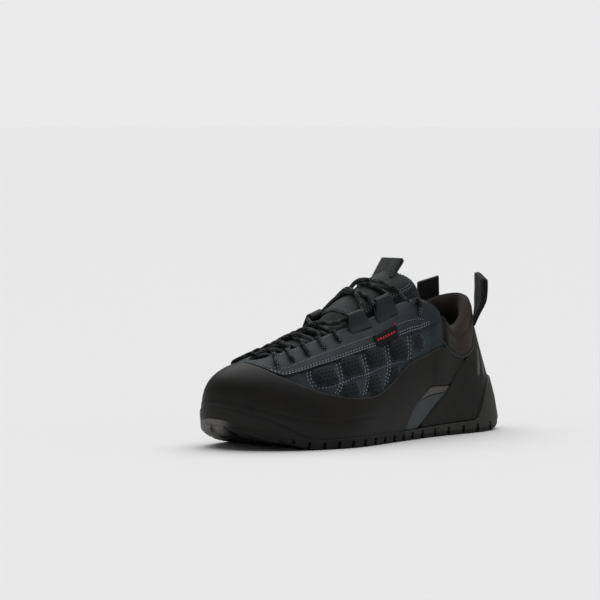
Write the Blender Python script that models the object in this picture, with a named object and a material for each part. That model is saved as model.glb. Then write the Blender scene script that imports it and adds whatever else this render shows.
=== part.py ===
"""Approach shoe, left foot, standing empty on its sole.

Lengths are millimetres in this file and metres in the scene. +X runs to the toe, +Y to the
wearer's left (the outer side of this shoe) and +Z up. The origin is the middle of the bottom
of the whole shoe's box.

One outer form carries every piece. A place on it is (u, h): u counts the stations round the
shoe, from 0 at the heel along the outer side to 12 at the toe and back along the inner side
to 24, and h climbs the wall from 0 at the top of the outsole's edge to 1 at the topline. A
piece is a patch of that form between two distances from it.
"""

from typing import NamedTuple

import bmesh
import bpy
import numpy as np

# Sizes of the sole.
TOE_SPRING = 17.0
TOE_SPRING_FROM = 218.0
TOE_SPRING_RUN = 50.0
HEEL_BEVEL = 7.0
HEEL_BEVEL_FROM = 34.0
HEEL_BEVEL_RUN = 38.0
EDGE_FORE = 6.4
EDGE_HEEL_RISE = 4.2
EDGE_RISE_FROM = 150.0
LUG_DEPTH = 3.6
DOT_DEPTH = 1.6
DOT_RADIUS = 0.38
SLOT_WIDTH_U = 0.084
LUG_DRAFT = 0.05
EDGE_OUT = 3.6
TOE_EDGE_OUT = 3.7
HEEL_PLATE_OUT = 4.9
LIP_IN = 3.1

# Sizes of the walls, as distances outwards from the form.
WALL = 2.4
OVERLAY_IN = 0.5
RAND_OUT = 2.3
EYESTAY_OUT = 1.6
CUFF_OUT = 2.9
COLLAR_PAD = 7.2
LINE_GAP = 0.4
PANEL_GAP = 0.6
TONGUE_IN = 0.9
FEATHER_H = 0.100
MIDSOLE_TOP_H = 0.095
INSOLE_H = 0.106
INSOLE_TOP_H = 0.150
SEAM_H = 0.006

# Sizes of the soft parts.
LACE_RADIUS = 1.6
LACE_SIDES = 4
LACE_OVER = 5.2
LACE_SEAT = 0.8
LOOP_WIDTH = 16.0
LOOP_THICK = 1.1
LOOP_FOLD = 2.5
LOOP_MOUTH_U = 0.42
LACE_FORWARD_U = 0.4
PULL_WIDTH = 17.0
PULL_THICK = 1.5
TAB_WIDTH = 20.0
TAB_THICK = 1.5


class Station(NamedTuple):
    """One upright section of the form: foot of the wall, topline, and the wall's two ends."""

    name: str
    foot_x: float
    foot_y: float
    top_x: float
    top_y: float
    top_z: float
    lean: float
    rise: float
    fall: float
    reach: float


STATIONS = [
    Station("heel centre", -1.5, 0.0, 18.5, 0.0, 102.0, -10, 34, 84, 30),
    Station("heel quarter, outer", 7.0, 21.0, 26.0, 12.5, 97.5, -8, 32, 84, 28),
    Station("heel side, outer", 29.0, 32.5, 41.0, 22.5, 87.5, -4, 28, 82, 24),
    Station("ankle, outer", 56.0, 34.5, 60.0, 26.5, 80.0, -1, 24, 82, 20),
    Station("collar front, outer", 82.0, 34.5, 74.0, 26.0, 91.5, 1, 24, 72, 24),
    Station("top eyelet, outer", 110.0, 37.0, 94.0, 20.0, 101.5, 3, 24, 44, 24),
    Station("instep, outer", 137.0, 41.5, 128.0, 16.5, 92.5, 5, 23, 34, 24),
    Station("waist, outer", 165.0, 46.5, 155.0, 14.5, 84.5, 6, 23, 30, 26),
    Station("ball, outer", 192.0, 49.0, 180.0, 12.0, 78.0, 7, 22, 27, 27),
    Station("front of ball, outer", 218.0, 43.5, 204.0, 9.0, 71.0, 8, 23, 24, 27),
    Station("toe side, outer", 241.0, 32.0, 224.0, 5.5, 66.0, 8, 25, 20, 28),
    Station("toe corner, outer", 260.0, 13.5, 236.0, 0.5, 62.5, 8, 26, 16, 28),
    Station("toe tip", 268.5, -7.0, 240.0, -5.5, 61.5, 8, 26, 14, 27),
    Station("toe corner, inner", 267.0, -23.0, 236.0, -11.0, 62.0, 8, 26, 16, 28),
    Station("toe side, inner", 253.5, -37.5, 224.0, -15.5, 65.0, 8, 25, 20, 28),
    Station("front of ball, inner", 229.0, -45.0, 204.0, -19.5, 69.0, 8, 23, 24, 27),
    Station("ball, inner", 200.0, -47.5, 180.0, -22.0, 75.5, 7, 22, 27, 27),
    Station("waist, inner", 171.0, -42.0, 155.0, -23.5, 82.0, 6, 23, 30, 26),
    Station("instep, inner", 141.0, -33.0, 128.0, -24.5, 90.5, 5, 23, 36, 24),
    Station("top eyelet, inner", 112.0, -28.0, 94.0, -24.5, 100.5, 3, 24, 50, 24),
    Station("collar front, inner", 82.0, -29.5, 74.0, -26.5, 92.5, 1, 24, 74, 24),
    Station("ankle, inner", 55.0, -33.0, 59.0, -26.5, 84.5, -1, 24, 82, 20),
    Station("heel side, inner", 28.0, -32.0, 39.0, -23.5, 94.0, -4, 28, 82, 24),
    Station("heel quarter, inner", 7.0, -20.5, 25.0, -14.0, 100.5, -8, 32, 84, 28),
]
TOE = 12.0
ROUND = 24.0


class Edge(NamedTuple):
    """One place on a line drawn on the form; both sides share it, with u counted from the heel."""

    u: float
    h: float


COLLAR_EDGE = [
    Edge(0.0, 0.900), Edge(0.6, 0.890), Edge(1.1, 0.860), Edge(1.5, 0.785), Edge(1.88, 0.685),
    Edge(2.13, 0.645), Edge(2.59, 0.633), Edge(2.93, 0.651), Edge(3.4, 0.689), Edge(3.86, 0.698),
    Edge(4.15, 0.753), Edge(4.4, 0.810),
]
COUNTER_FRONT = [
    Edge(2.25, 0.649), Edge(2.82, 0.574), Edge(3.39, 0.458), Edge(3.62, 0.369), Edge(3.85, 0.294),
    Edge(4.49, 0.135), Edge(5.09, 0.0),
]
RAND_REAR = [
    Edge(2.25, 0.649), Edge(2.82, 0.574), Edge(3.39, 0.458), Edge(3.62, 0.369), Edge(4.09, 0.352),
    Edge(4.47, 0.337), Edge(4.9, 0.248), Edge(5.29, 0.193), Edge(5.77, 0.0),
]
RAND_TOP = [
    Edge(3.86, 0.698), Edge(4.12, 0.658), Edge(4.54, 0.566), Edge(4.93, 0.520), Edge(5.32, 0.496),
    Edge(5.73, 0.467), Edge(6.12, 0.423), Edge(6.61, 0.373), Edge(7.09, 0.346), Edge(7.71, 0.360),
    Edge(8.24, 0.389), Edge(8.71, 0.428), Edge(9.16, 0.483), Edge(9.61, 0.542), Edge(10.06, 0.609),
    Edge(10.41, 0.684), Edge(10.77, 0.773), Edge(11.2, 0.850), Edge(11.6, 0.890), Edge(12.0, 0.900),
]
EYESTAY_LOW = [
    Edge(3.95, 0.955), Edge(4.1, 0.900), Edge(4.44, 0.794), Edge(4.75, 0.722), Edge(5.13, 0.693),
    Edge(5.99, 0.696), Edge(7.03, 0.708), Edge(8.05, 0.704), Edge(8.87, 0.702), Edge(9.62, 0.676),
    Edge(10.05, 0.640), Edge(10.41, 0.700), Edge(10.77, 0.789), Edge(11.2, 0.866),
    Edge(11.6, 0.906), Edge(12.0, 0.916),
]
UPPER_TOP = [Edge(0.0, 0.955), Edge(3.8, 0.955), Edge(4.0, 1.0), Edge(12.0, 1.0)]
HEEL_PLATE = [
    Edge(0.0, 0.330), Edge(1.0, 0.325), Edge(1.64, 0.303), Edge(2.06, 0.212), Edge(2.31, 0.086),
    Edge(2.46, 0.003), Edge(12.0, 0.003),
]

RAND_EXTRA = [2.82, 3.4, 3.62, 4.09, 4.47, 4.9, 5.29, 5.53, 5.77, 6.25, 6.61]

# Middles of the slots between the edge lugs, along the outer side, and the toe's rows of dots.
SLOTS = [
    0.66, 1.3, 1.9, 2.5, 3.1, 3.75, 4.35, 4.92, 5.41, 5.85, 6.3, 6.75, 7.2, 7.65, 8.1, 8.55,
    9.0, 9.45, 9.9,
]
HEEL_EXTRA = [0.32, 0.98, 1.6]
DOT_ROWS = [10.3, 10.7, 11.1, 11.5, 11.8]
ACROSS_HIDDEN = [0.0, 1.0]
ACROSS_TOP = [0.0, 0.5, 1.0]
ACROSS = [0.0, 0.17, 0.21, 0.465, 0.535, 0.79, 0.83, 1.0]
LUG_COLUMNS = (0, 2, 4, 6)


class Crest(NamedTuple):
    """One section of the tongue, at the topline's station u: its middle and its thickness."""

    name: str
    u: float
    x: float
    z: float
    edge_h: float
    thick: float


TONGUE = [
    Crest("under the vamp", 11.3, 241.5, 57.6, 0.95, 2.5),
    Crest("front of throat", 10.7, 232.5, 62.2, 0.94, 3.0),
    Crest("first bar", 10.0, 222.0, 68.0, 0.93, 3.5),
    Crest("forefoot", 9.0, 203.5, 76.0, 0.92, 4.0),
    Crest("last punched bar", 8.0, 180.0, 82.0, 0.91, 4.0),
    Crest("below the pad", 7.5, 168.0, 87.0, 0.90, 4.5),
    Crest("first loop", 7.0, 155.5, 97.0, 0.90, 5.0),
    Crest("between loops", 6.5, 143.0, 104.5, 0.90, 5.5),
    Crest("second loop", 6.0, 130.0, 110.5, 0.90, 5.5),
    Crest("pad", 5.5, 114.5, 118.0, 0.90, 6.0),
    Crest("top eyelet", 5.0, 104.0, 123.0, 0.90, 6.0),
    Crest("top edge", 4.6, 99.0, 125.0, 0.90, 5.0),
]
TONGUE_ACROSS = 12
PANEL_FROM, PANEL_TO, PANEL_HALF = 7.0, 4.75, 0.5
PANEL_THICK = 1.3


class Row(NamedTuple):
    """One row of the lacing: its station on the outer side, its height there and the kind of hole."""

    name: str
    u: float
    h: float
    kind: str


LACING = [
    Row("first", 10.23, 0.80, "punched"),
    Row("second", 9.62, 0.835, "punched"),
    Row("third", 8.99, 0.85, "punched"),
    Row("fourth", 8.37, 0.86, "punched"),
    Row("fifth", 7.79, 0.87, "punched"),
    Row("front loop", 6.95, 0.90, "loop"),
    Row("rear loop", 5.95, 0.90, "loop"),
    Row("top", 4.9, 0.855, "top"),
]

COLUMNS = sorted(
    [0, 1 / 3, 2 / 3, 1, 4 / 3, 5 / 3, 2, 2.5, 3, 3.4, 3.8, 4.0]
    + [4.5 + 0.5 * k for k in range(11)]
    + [9.83, 10.17, 10.5, 10.83, 11.17, 11.5, 11.75, 12]
)


def spline(values, u):
    """Closed smooth curve through the rows of values, which stand at u = 0, 1, 2 and so on."""
    count = len(values)
    weights = 4 * np.eye(count) + np.roll(np.eye(count), 1, 0) + np.roll(np.eye(count), -1, 0)
    slopes = np.linalg.solve(weights, 3 * (np.roll(values, -1, 0) - np.roll(values, 1, 0)))
    u = np.asarray(u, float) % count
    k = np.floor(u).astype(int) % count
    t = (u - np.floor(u))[..., None]
    start, end = values[k], values[(k + 1) % count]
    first, last = slopes[k], slopes[(k + 1) % count]
    return (
        (2 * t**3 - 3 * t**2 + 1) * start
        + (t**3 - 2 * t**2 + t) * first
        + (3 * t**2 - 2 * t**3) * end
        + (t**3 - t**2) * last
    )


FORM = np.array([station[1:] for station in STATIONS], float)


def folded(u):
    """u counted from the heel on either side."""
    u = np.asarray(u, float) % ROUND
    return np.minimum(u, ROUND - u)


def along(edges, u):
    """Height on the form of a line of edges at u."""
    return np.interp(folded(u), [edge.u for edge in edges], [edge.h for edge in edges])


def ground(x):
    """Height of the lugs' undersides, flat from the heel's bevel to the toe's spring."""
    toe = np.clip((x - TOE_SPRING_FROM) / TOE_SPRING_RUN, 0, 1.1)
    heel = np.clip((HEEL_BEVEL_FROM - x) / HEEL_BEVEL_RUN, 0, 1)
    return TOE_SPRING * toe**1.7 + HEEL_BEVEL * heel**1.7


def edge_top(x):
    """Height of the top of the outsole's edge."""
    back = np.clip((EDGE_RISE_FROM - x) / EDGE_RISE_FROM, 0, 1)
    toe = np.clip((x - TOE_SPRING_FROM) / TOE_SPRING_RUN, 0, 1.1)
    return EDGE_FORE + EDGE_HEEL_RISE * back + TOE_SPRING * toe**1.7


def lug_depth(x):
    """Depth of the tread, which thins out under the toe."""
    thin = np.clip((x - 212) / 42, 0, 1)
    return LUG_DEPTH + (0.3 - LUG_DEPTH) * thin * thin * (3 - 2 * thin)


def outward(u):
    """Level direction away from the shoe at the foot of the wall."""
    ahead = spline(FORM[:, :2], np.asarray(u) + 1e-3) - spline(FORM[:, :2], np.asarray(u) - 1e-3)
    ahead /= np.linalg.norm(ahead, axis=-1, keepdims=True)
    return np.stack([-ahead[..., 1], ahead[..., 0], 0 * ahead[..., 0]], -1)


def surface(u, h):
    """Point of the form at (u, h)."""
    u, h = np.broadcast_arrays(np.asarray(u, float), np.asarray(h, float))
    row = spline(FORM, u)
    column = [row[..., k, None] for k in range(9)]
    foot_x, foot_y, top_x, top_y, top_z, lean, rise, fall, reach = column
    foot = np.concatenate([foot_x, foot_y, edge_top(foot_x)], -1)
    top = np.concatenate([top_x, top_y, top_z], -1)
    out = outward(u)
    up = np.array([0, 0, 1.0])
    lean, fall_angle = np.radians(lean), np.radians(fall)
    low = foot + rise * (np.sin(lean) * out + np.cos(lean) * up)
    way = (foot - top) * np.array([1, 1, 0])
    length = np.linalg.norm(way, axis=-1, keepdims=True) + 1e-9
    share = np.clip(length / 12, 0, 1) * np.clip((80 - fall) / 20, 0, 1)
    way = way / length * share + out * (1 - share)
    way /= np.linalg.norm(way, axis=-1, keepdims=True)
    high = top + reach * (np.cos(fall_angle) * way - np.sin(fall_angle) * up)
    t = h[..., None]
    return (1 - t) ** 3 * foot + 3 * (1 - t) ** 2 * t * low + 3 * (1 - t) * t**2 * high + t**3 * top


def at(u, h, out):
    """Point at a distance outwards from the form."""
    u, h, out = np.broadcast_arrays(*(np.asarray(a, float) for a in (u, h, out)))
    step = 1e-3
    around = surface(u + step, h) - surface(u - step, h)
    climb = surface(u, np.minimum(h + step, 1)) - surface(u, np.maximum(h - step, 0))
    normal = np.cross(climb, around)
    normal /= np.linalg.norm(normal, axis=-1, keepdims=True)
    return surface(u, h) + normal * out[..., None]


def columns(start, end, extra=()):
    """Stations at which a piece from start to end is drawn, with any extra ones."""
    both = list(COLUMNS) + [ROUND - c for c in COLUMNS]
    both = both + [b + ROUND for b in both] + [b - ROUND for b in both]
    kept = [start, end] + list(extra)
    inside = [b for b in both if start < b < end and min(abs(b - k) for k in kept) > 0.12]
    return np.unique(np.round(np.array(kept + inside), 4))


def new_object(name, points, faces):
    """Mesh object from points in millimetres, with its faces turned outwards."""
    mesh = bpy.data.meshes.new(name)
    build = bmesh.new()
    verts = [build.verts.new(p) for p in np.asarray(points, float) / 1000]
    for face in faces:
        build.faces.new([verts[i] for i in face])
    bmesh.ops.recalc_face_normals(build, faces=build.faces)
    if build.calc_volume(signed=True) < 0:
        bmesh.ops.reverse_faces(build, faces=build.faces)
    build.to_mesh(mesh)
    build.free()
    obj = bpy.data.objects.new(name, mesh)
    bpy.context.scene.collection.objects.link(obj)
    return obj


def shell(name, outer, inner, closed=False):
    """Solid between two grids of points; closed when its columns run all the way round."""
    wide, high = outer.shape[:2]
    points = np.concatenate([outer.reshape(-1, 3), inner.reshape(-1, 3)])
    shift = wide * high
    last = wide if closed else wide - 1
    faces = []
    for i in range(last):
        j = (i + 1) % wide
        for k in range(high - 1):
            ring = (i * high + k, j * high + k, j * high + k + 1, i * high + k + 1)
            faces.append(ring)
            faces.append(tuple(v + shift for v in reversed(ring)))
        for k in (0, high - 1):
            faces.append((i * high + k, j * high + k, j * high + k + shift, i * high + k + shift))
    if not closed:
        for i in (0, wide - 1):
            for k in range(high - 1):
                a, b = i * high + k, i * high + k + 1
                faces.append((a, b, b + shift, a + shift))
    return new_object(name, points, faces)


def patch(name, stations, low, high, inside, outside, rows, closed=False):
    """Overlay on the form between two lines and two distances from it."""
    share = np.linspace(0, 1, rows + 1)[None, :]
    u = np.asarray(stations, float)[:, None]
    h = low(u) + (high(u) - low(u)) * share
    return shell(name, at(u, h, outside), at(u, h, inside), closed)


def loft(name, rings):
    """Solid through closed sections of equal count, with flat ends."""
    count = len(rings[0])
    points = np.concatenate(rings)
    faces = [tuple(range(count)), tuple(range(len(points) - count, len(points)))]
    for r in range(len(rings) - 1):
        for k in range(count):
            a, b = r * count + k, r * count + (k + 1) % count
            faces.append((a, b, b + count, a + count))
    return new_object(name, points, faces)


def side_pairs(stations):
    """Stations all the way round, and how many lie from the heel to the toe."""
    stations = np.asarray(stations, float)
    return np.concatenate([stations, ROUND - stations[-2:0:-1]]), len(stations)


def cap(count, ring, across, height, first):
    """Points and cells that span a ring from side to side. Cells are keyed by row and column."""
    total = len(ring)
    points = []
    index = {}
    for row in range(1, count - 1):
        outer, inner = ring[row], ring[total - row]
        index[row] = [row]
        for share in across[1:-1]:
            p = outer + (inner - outer) * share
            if height is not None:
                p = np.array([p[0], p[1], height(p[0])])
            index[row].append(first + len(points))
            points.append(p)
        index[row].append(total - row)
    cells = {}
    for row in range(1, count - 2):
        for k in range(len(across) - 1):
            a, b = index[row], index[row + 1]
            cells[row, k] = (a[k], b[k], b[k + 1], a[k + 1])
    for k in range(len(across) - 1):
        cells[0, k] = (0, index[1][k], index[1][k + 1])
        cells[count - 2, k] = (count - 1, index[count - 2][k + 1], index[count - 2][k])
    return points, cells


def slab(name, stations, rings, across, above, low_height=None, high_height=None, tread=None):
    """Solid through rings that go round the shoe, closed by a cap below and a cap above."""
    around, count = side_pairs(stations)
    total = len(around)
    points = [p for ring in rings for p in ring]
    faces = []
    for r in range(len(rings) - 1):
        for k in range(total):
            a, b = r * total + k, r * total + (k + 1) % total
            faces.append((a, b, b + total, a + total))
    below, low_cells = cap(count, rings[0], across, low_height, len(points))
    points += below
    shift = (len(rings) - 1) * total
    over, high_cells = cap(count, rings[-1], above, high_height, len(points))
    points += over
    for cell in high_cells.values():
        faces.append(tuple(v + shift if v < total else v for v in cell))
    if tread is None:
        faces += list(low_cells.values())
    else:
        points, faces = tread(points, faces, low_cells)
    return new_object(name, points, faces)


def sole_columns():
    """Stations of the outsole: two at each slot, more round the heel, then the toe's rows."""
    half = SLOT_WIDTH_U / 2
    cuts = [s + d for s in SLOTS for d in (-half, half)]
    return sorted([0.0] + HEEL_EXTRA + cuts + DOT_ROWS + [TOE])


def lay_tread(points, faces, cells):
    """Lowers each lug from its cell, and a round dot from each cell of the toe."""
    stations = sole_columns()
    half = SLOT_WIDTH_U / 2
    points = [np.asarray(p, float) for p in points]
    slots = {round(s - half, 4) for s in SLOTS}
    lugs = {}
    for (row, k), cell in cells.items():
        in_slot = round(stations[row], 4) in slots
        in_toe = stations[row] > SLOTS[-1]
        if k not in LUG_COLUMNS or in_slot or len(cell) == 3:
            faces.append(cell)
        elif in_toe:
            add_dot(points, faces, cell)
        else:
            start = max((s for s in SLOTS if s < stations[row]), default=0.0)
            lugs.setdefault((start, k), []).append(cell)
    for group in lugs.values():
        add_lug(points, faces, group)
    return points, faces


def add_lug(points, faces, group):
    """One lug under a run of cells, its walls drawn in a little towards its foot."""
    used = sorted({v for cell in group for v in cell})
    centre = np.mean([points[v] for v in used], axis=0)
    copy = {}
    for v in used:
        p = points[v] + (centre - points[v]) * LUG_DRAFT
        copy[v] = len(points)
        points.append(np.array([p[0], p[1], ground(p[0])]))
    edges = {}
    for cell in group:
        faces.append(tuple(copy[v] for v in cell))
        for a, b in zip(cell, cell[1:] + cell[:1]):
            edges[a, b] = True
    for a, b in edges:
        if (b, a) not in edges:
            faces.append((a, b, copy[b], copy[a]))


def add_dot(points, faces, cell):
    """One eight-sided dot in the middle of a four-sided cell."""
    corners = [points[v] for v in cell]
    centre = np.mean(corners, axis=0)
    side_a = (corners[1] - corners[0] + corners[2] - corners[3]) / 2
    side_b = (corners[3] - corners[0] + corners[2] - corners[1]) / 2
    radius = DOT_RADIUS * min(np.linalg.norm(side_a), np.linalg.norm(side_b))
    dir_a = side_a / np.linalg.norm(side_a)
    dir_b = side_b - dir_a * (side_b @ dir_a)
    dir_b /= np.linalg.norm(dir_b)
    rims = []
    for depth in (0.0, DOT_DEPTH):
        rim = []
        for step in range(8):
            angle = np.radians(-112.5 + 45 * step)
            p = centre + radius * (np.cos(angle) * dir_a + np.sin(angle) * dir_b)
            share_a = (p - centre) @ dir_a / np.linalg.norm(side_a)
            share_b = (p - centre) @ dir_b / np.linalg.norm(side_b)
            level = centre[2] + share_a * side_a[2] + share_b * side_b[2]
            rim.append(len(points))
            points.append(np.array([p[0], p[1], level - depth]))
        rims.append(rim)
    top, foot = rims
    a, b, c, d = cell
    o = top
    faces += [(a, b, o[1], o[0]), (b, o[2], o[1]), (b, c, o[3], o[2]), (c, o[4], o[3])]
    faces += [(c, d, o[5], o[4]), (d, o[6], o[5]), (d, a, o[7], o[6]), (a, o[0], o[7])]
    for k in range(8):
        faces.append((top[k], top[(k + 1) % 8], foot[(k + 1) % 8], foot[k]))
    faces.append(tuple(foot))


def make_outsole():
    """Rubber outsole: lugs, toe dots, edge strip and the plate that climbs the heel's back."""
    stations = sole_columns()
    u, _ = side_pairs(stations)
    foot = surface(u, 0.0)
    out = outward(u)
    heel = np.clip(1 - folded(u) / 3.2, 0, 1)[:, None]
    edge = EDGE_OUT + (HEEL_PLATE_OUT - EDGE_OUT) * heel * heel * (3 - 2 * heel)
    toe = np.clip((folded(u) - 9.6) / 1.2, 0, 1)[:, None]
    edge = edge + (TOE_EDGE_OUT - edge) * toe
    lip = along(HEEL_PLATE, u)
    low = foot + out * (edge - 0.3)
    low[:, 2] = ground(low[:, 0]) + lug_depth(low[:, 0])
    level = edge_top(foot[:, 0])
    side = foot + out * edge
    side[:, 2] = level
    inner = foot + out * LIP_IN
    inner[:, 2] = level
    rise = surface(u, lip)
    rings = [low, side, rise + out * edge, rise + out * LIP_IN, inner]
    return slab(
        "outsole", stations, rings, ACROSS, ACROSS_HIDDEN,
        low_height=lambda x: ground(x) + lug_depth(x), high_height=edge_top, tread=lay_tread,
    )


def make_midsole():
    """Foam midsole between the outsole's top and the feather line of the upper."""
    u, _ = side_pairs(COLUMNS)
    low = surface(u, 0.0)
    low[:, 2] += LINE_GAP
    rings = [low, at(u, MIDSOLE_TOP_H, 0.0)]
    return slab("midsole", COLUMNS, rings, ACROSS_HIDDEN, ACROSS_HIDDEN,
                low_height=lambda x: edge_top(x) + LINE_GAP)


def make_insole():
    """Footbed inside the upper, cupped at its rim."""
    u, _ = side_pairs(COLUMNS)
    rings = [at(u, INSOLE_H, -WALL - 0.6), at(u, INSOLE_TOP_H, -WALL - 0.6)]
    return slab("insole", COLUMNS, rings, ACROSS_TOP, ACROSS_TOP)


def make_upper():
    """Hollow upper, open at the collar, at the throat and underneath."""
    u, _ = side_pairs(COLUMNS)
    return patch("upper", u, lambda v: FEATHER_H + 0 * v, lambda v: along(UPPER_TOP, v),
                 -WALL, 0.0, 6, closed=True)


def make_rand():
    """Rubber rand: the toe cap and the sides, with a wing on each side up to the collar."""
    tip = 2.62
    stations = columns(tip, ROUND - tip, [s for k in RAND_EXTRA for s in (k, ROUND - k)])

    def low(u):
        toe = np.clip((folded(u) - 9.5) / 1.5, 0, 1)
        return np.where(folded(u) < 5.77, along(RAND_REAR, u) + SEAM_H, SEAM_H + 0.016 * toe)

    def high(u):
        top = np.where(folded(u) < 3.86, along(COLLAR_EDGE, u), along(RAND_TOP, u))
        return top - SEAM_H

    return patch("rand", stations, low, high, OVERLAY_IN, RAND_OUT, 5)


def make_counter():
    """Heel counter overlay, from the outsole to the collar."""
    stations = columns(-4.9, 4.9, [s for k in (2.25, 2.75, 3.25, 3.62, 4.25) for s in (k, -k)])

    def high(u):
        top = np.where(folded(u) < 2.25, along(COLLAR_EDGE, u), along(COUNTER_FRONT, u))
        return top - SEAM_H

    return patch("heel_counter", stations, lambda v: SEAM_H + 0 * v, high, OVERLAY_IN, RAND_OUT, 4)


def make_arch_band(name, inner_side):
    """Band of the arch that shows between the rand and the heel counter."""
    stations = np.array([3.72, 3.85, 4.09, 4.3, 4.47, 4.7, 4.9, 5.1, 5.29, 5.5, 5.66])
    if inner_side:
        stations = ROUND - stations

    def low(u):
        return np.maximum(along(COUNTER_FRONT, u) + SEAM_H, SEAM_H)

    def high(u):
        return along(RAND_REAR, u) - SEAM_H

    return patch(name, stations, low, high, OVERLAY_IN, 1.7, 3)


def make_eyestay():
    """Lacing strip round the throat, from one collar tab round the toe end to the other."""
    stations = columns(3.97, ROUND - 3.97, [4.12, 4.25, 4.75, ROUND - 4.12, ROUND - 4.25, ROUND - 4.75])
    return patch("eyestay", stations, lambda v: along(EYESTAY_LOW, v) + SEAM_H,
                 lambda v: 0.997 + 0 * v, OVERLAY_IN + 0.2, EYESTAY_OUT, 3)


def make_label():
    """Small woven label folded over the eyestay's lower edge, on the outer side."""
    return patch("label", np.linspace(5.74, 6.58, 5), lambda v: 0.675 + 0 * v,
                 lambda v: 0.79 + 0 * v, EYESTAY_OUT + 0.4, EYESTAY_OUT + 1.1, 3)


def make_collar():
    """Padded collar that wraps the edge of the upper from one tab round the heel to the other."""
    end = 3.79
    u = columns(-end, end)
    low = along(COLLAR_EDGE, u) + SEAM_H
    top = along(UPPER_TOP, u)
    over = top + 0.006
    lift = np.array([0, 0, 1.0])
    mid = (low + 1) / 2
    rings = [
        at(u, low, OVERLAY_IN), at(u, low, 1.7), at(u, mid, CUFF_OUT), at(u, 0.975, 2.2),
        at(u, 1.0, 0.2), at(u, 1.0, -2.8) + lift * 1.2, at(u, 0.975, -COLLAR_PAD + 1.2),
        at(u, 0.87, -COLLAR_PAD), at(u, 0.74, -COLLAR_PAD + 1.2), at(u, 0.62, -WALL - 1.9),
        at(u, 0.60, -WALL - 0.5), at(u, 0.78, -WALL - 0.5), at(u, over, -WALL - 0.5),
        at(u, over, OVERLAY_IN), at(u, (low + over) / 2, OVERLAY_IN),
    ]
    return loft("collar", list(np.stack(rings, 1)))


_TONGUE_GRID = []


def tongue_sections():
    """The tongue's outer face as a grid: a row for each section, points from side to side."""
    if _TONGUE_GRID:
        return _TONGUE_GRID[0]
    grid = []
    for crest in TONGUE:
        inner_u = ROUND - crest.u
        edges = []
        for u in (crest.u, inner_u):
            outer = at(u, crest.edge_h, -WALL - TONGUE_IN)
            rim = at(u, 1.0, -WALL - TONGUE_IN)
            edges.append((outer, rim))
        (edge_a, rim_a), (edge_b, rim_b) = edges
        middle = np.array([crest.x, (rim_a[1] + rim_b[1]) / 2, crest.z])
        shoulders = []
        for rim in (rim_a, rim_b):
            share = np.array([0.72, 0.72, 0.30])
            shoulders.append(middle + (rim - middle) * share)
        knots = np.array([edge_a, rim_a, shoulders[0], middle, shoulders[1], rim_b, edge_b])
        grid.append(smooth_line(knots, TONGUE_ACROSS))
    _TONGUE_GRID.append(np.array(grid))
    return _TONGUE_GRID[0]


def smooth_line(knots, parts):
    """Points spread along a smooth open curve through knots, two for each gap."""
    ends = [2 * knots[0] - knots[1]] + list(knots) + [2 * knots[-1] - knots[-2]]
    line = []
    gaps = len(knots) - 1
    for s in np.linspace(0, gaps, parts + 1):
        k = min(int(s), gaps - 1)
        t = s - k
        p, q, r, w = ends[k:k + 4]
        line.append(0.5 * (2 * q + (r - p) * t + (2 * p - 5 * q + 4 * r - w) * t**2
                           + (3 * q - p - 3 * r + w) * t**3))
    return np.array(line)


def grid_normals(grid):
    """Direction out of each point of a grid of points."""
    rows = np.gradient(grid, axis=0)
    across = np.gradient(grid, axis=1)
    normal = np.cross(rows, across)
    normal /= np.linalg.norm(normal, axis=-1, keepdims=True)
    return normal if normal[..., 2].mean() > 0 else -normal


def make_tongue():
    """Padded tongue under the throat."""
    outer = tongue_sections()
    thick = np.array([crest.thick for crest in TONGUE])[:, None]
    side = 1 - 0.45 * np.abs(np.linspace(-1, 1, outer.shape[1]))[None, :] ** 3
    return shell("tongue", outer, outer - grid_normals(outer) * (thick * side)[..., None])


def tongue_at(u, across, out):
    """Point over the tongue's outer face; across runs from -1 on the outer side to 1."""
    grid = tongue_sections()
    normal = grid_normals(grid)
    row = np.interp(-u, [-crest.u for crest in TONGUE], range(len(TONGUE)))
    column = (across + 1) / 2 * (grid.shape[1] - 1)
    i, j = min(int(row), len(TONGUE) - 2), min(int(column), grid.shape[1] - 2)
    s, t = row - i, column - j

    def blend(a):
        near = a[i, j] * (1 - t) + a[i, j + 1] * t
        far = a[i + 1, j] * (1 - t) + a[i + 1, j + 1] * t
        return near * (1 - s) + far * s

    return blend(grid) + blend(normal) * out


def make_tongue_panel():
    """Smooth panel stitched to the upper half of the tongue."""
    rows = [crest.u for crest in TONGUE if PANEL_TO < crest.u <= PANEL_FROM] + [PANEL_TO]
    across = np.linspace(-PANEL_HALF, PANEL_HALF, 7)
    outer = np.array([[tongue_at(u, a, PANEL_GAP + PANEL_THICK) for a in across] for u in rows])
    inner = np.array([[tongue_at(u, a, PANEL_GAP) for a in across] for u in rows])
    return shell("tongue_panel", outer, inner)


def strap(name, path, wide, thick):
    """Flat strap along a path, with its width along one direction."""
    path = np.asarray(path, float)
    wide = np.asarray(wide, float)
    rings = []
    way = np.gradient(path, axis=0)
    for p, w in zip(path, way):
        out = np.cross(w, wide)
        out *= thick / 2 / np.linalg.norm(out)
        half = wide / 2
        rings.append(np.array([p - half - out, p + half - out, p + half + out, p - half + out]))
    return loft(name, rings)


def fold_path(base, up, out, height, gap_low, gap_high):
    """Path of a folded strap: up one leg, round the fold and down the other."""
    turns = np.radians(np.arange(180, -1, -36))
    radius = gap_high / 2
    path = [base - out * gap_low / 2]
    path.append(base - out * (gap_low + gap_high) / 4 + up * (height * 0.45))
    top = base + up * (height - radius)
    path += [top + radius * (np.cos(t) * out + np.sin(t) * up) for t in turns]
    path.append(base + out * (gap_low + gap_high) / 4 + up * (height * 0.45))
    path.append(base + out * gap_low / 2)
    return path


def unit(vector):
    """The vector at length one."""
    return np.asarray(vector, float) / np.linalg.norm(vector)


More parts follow.
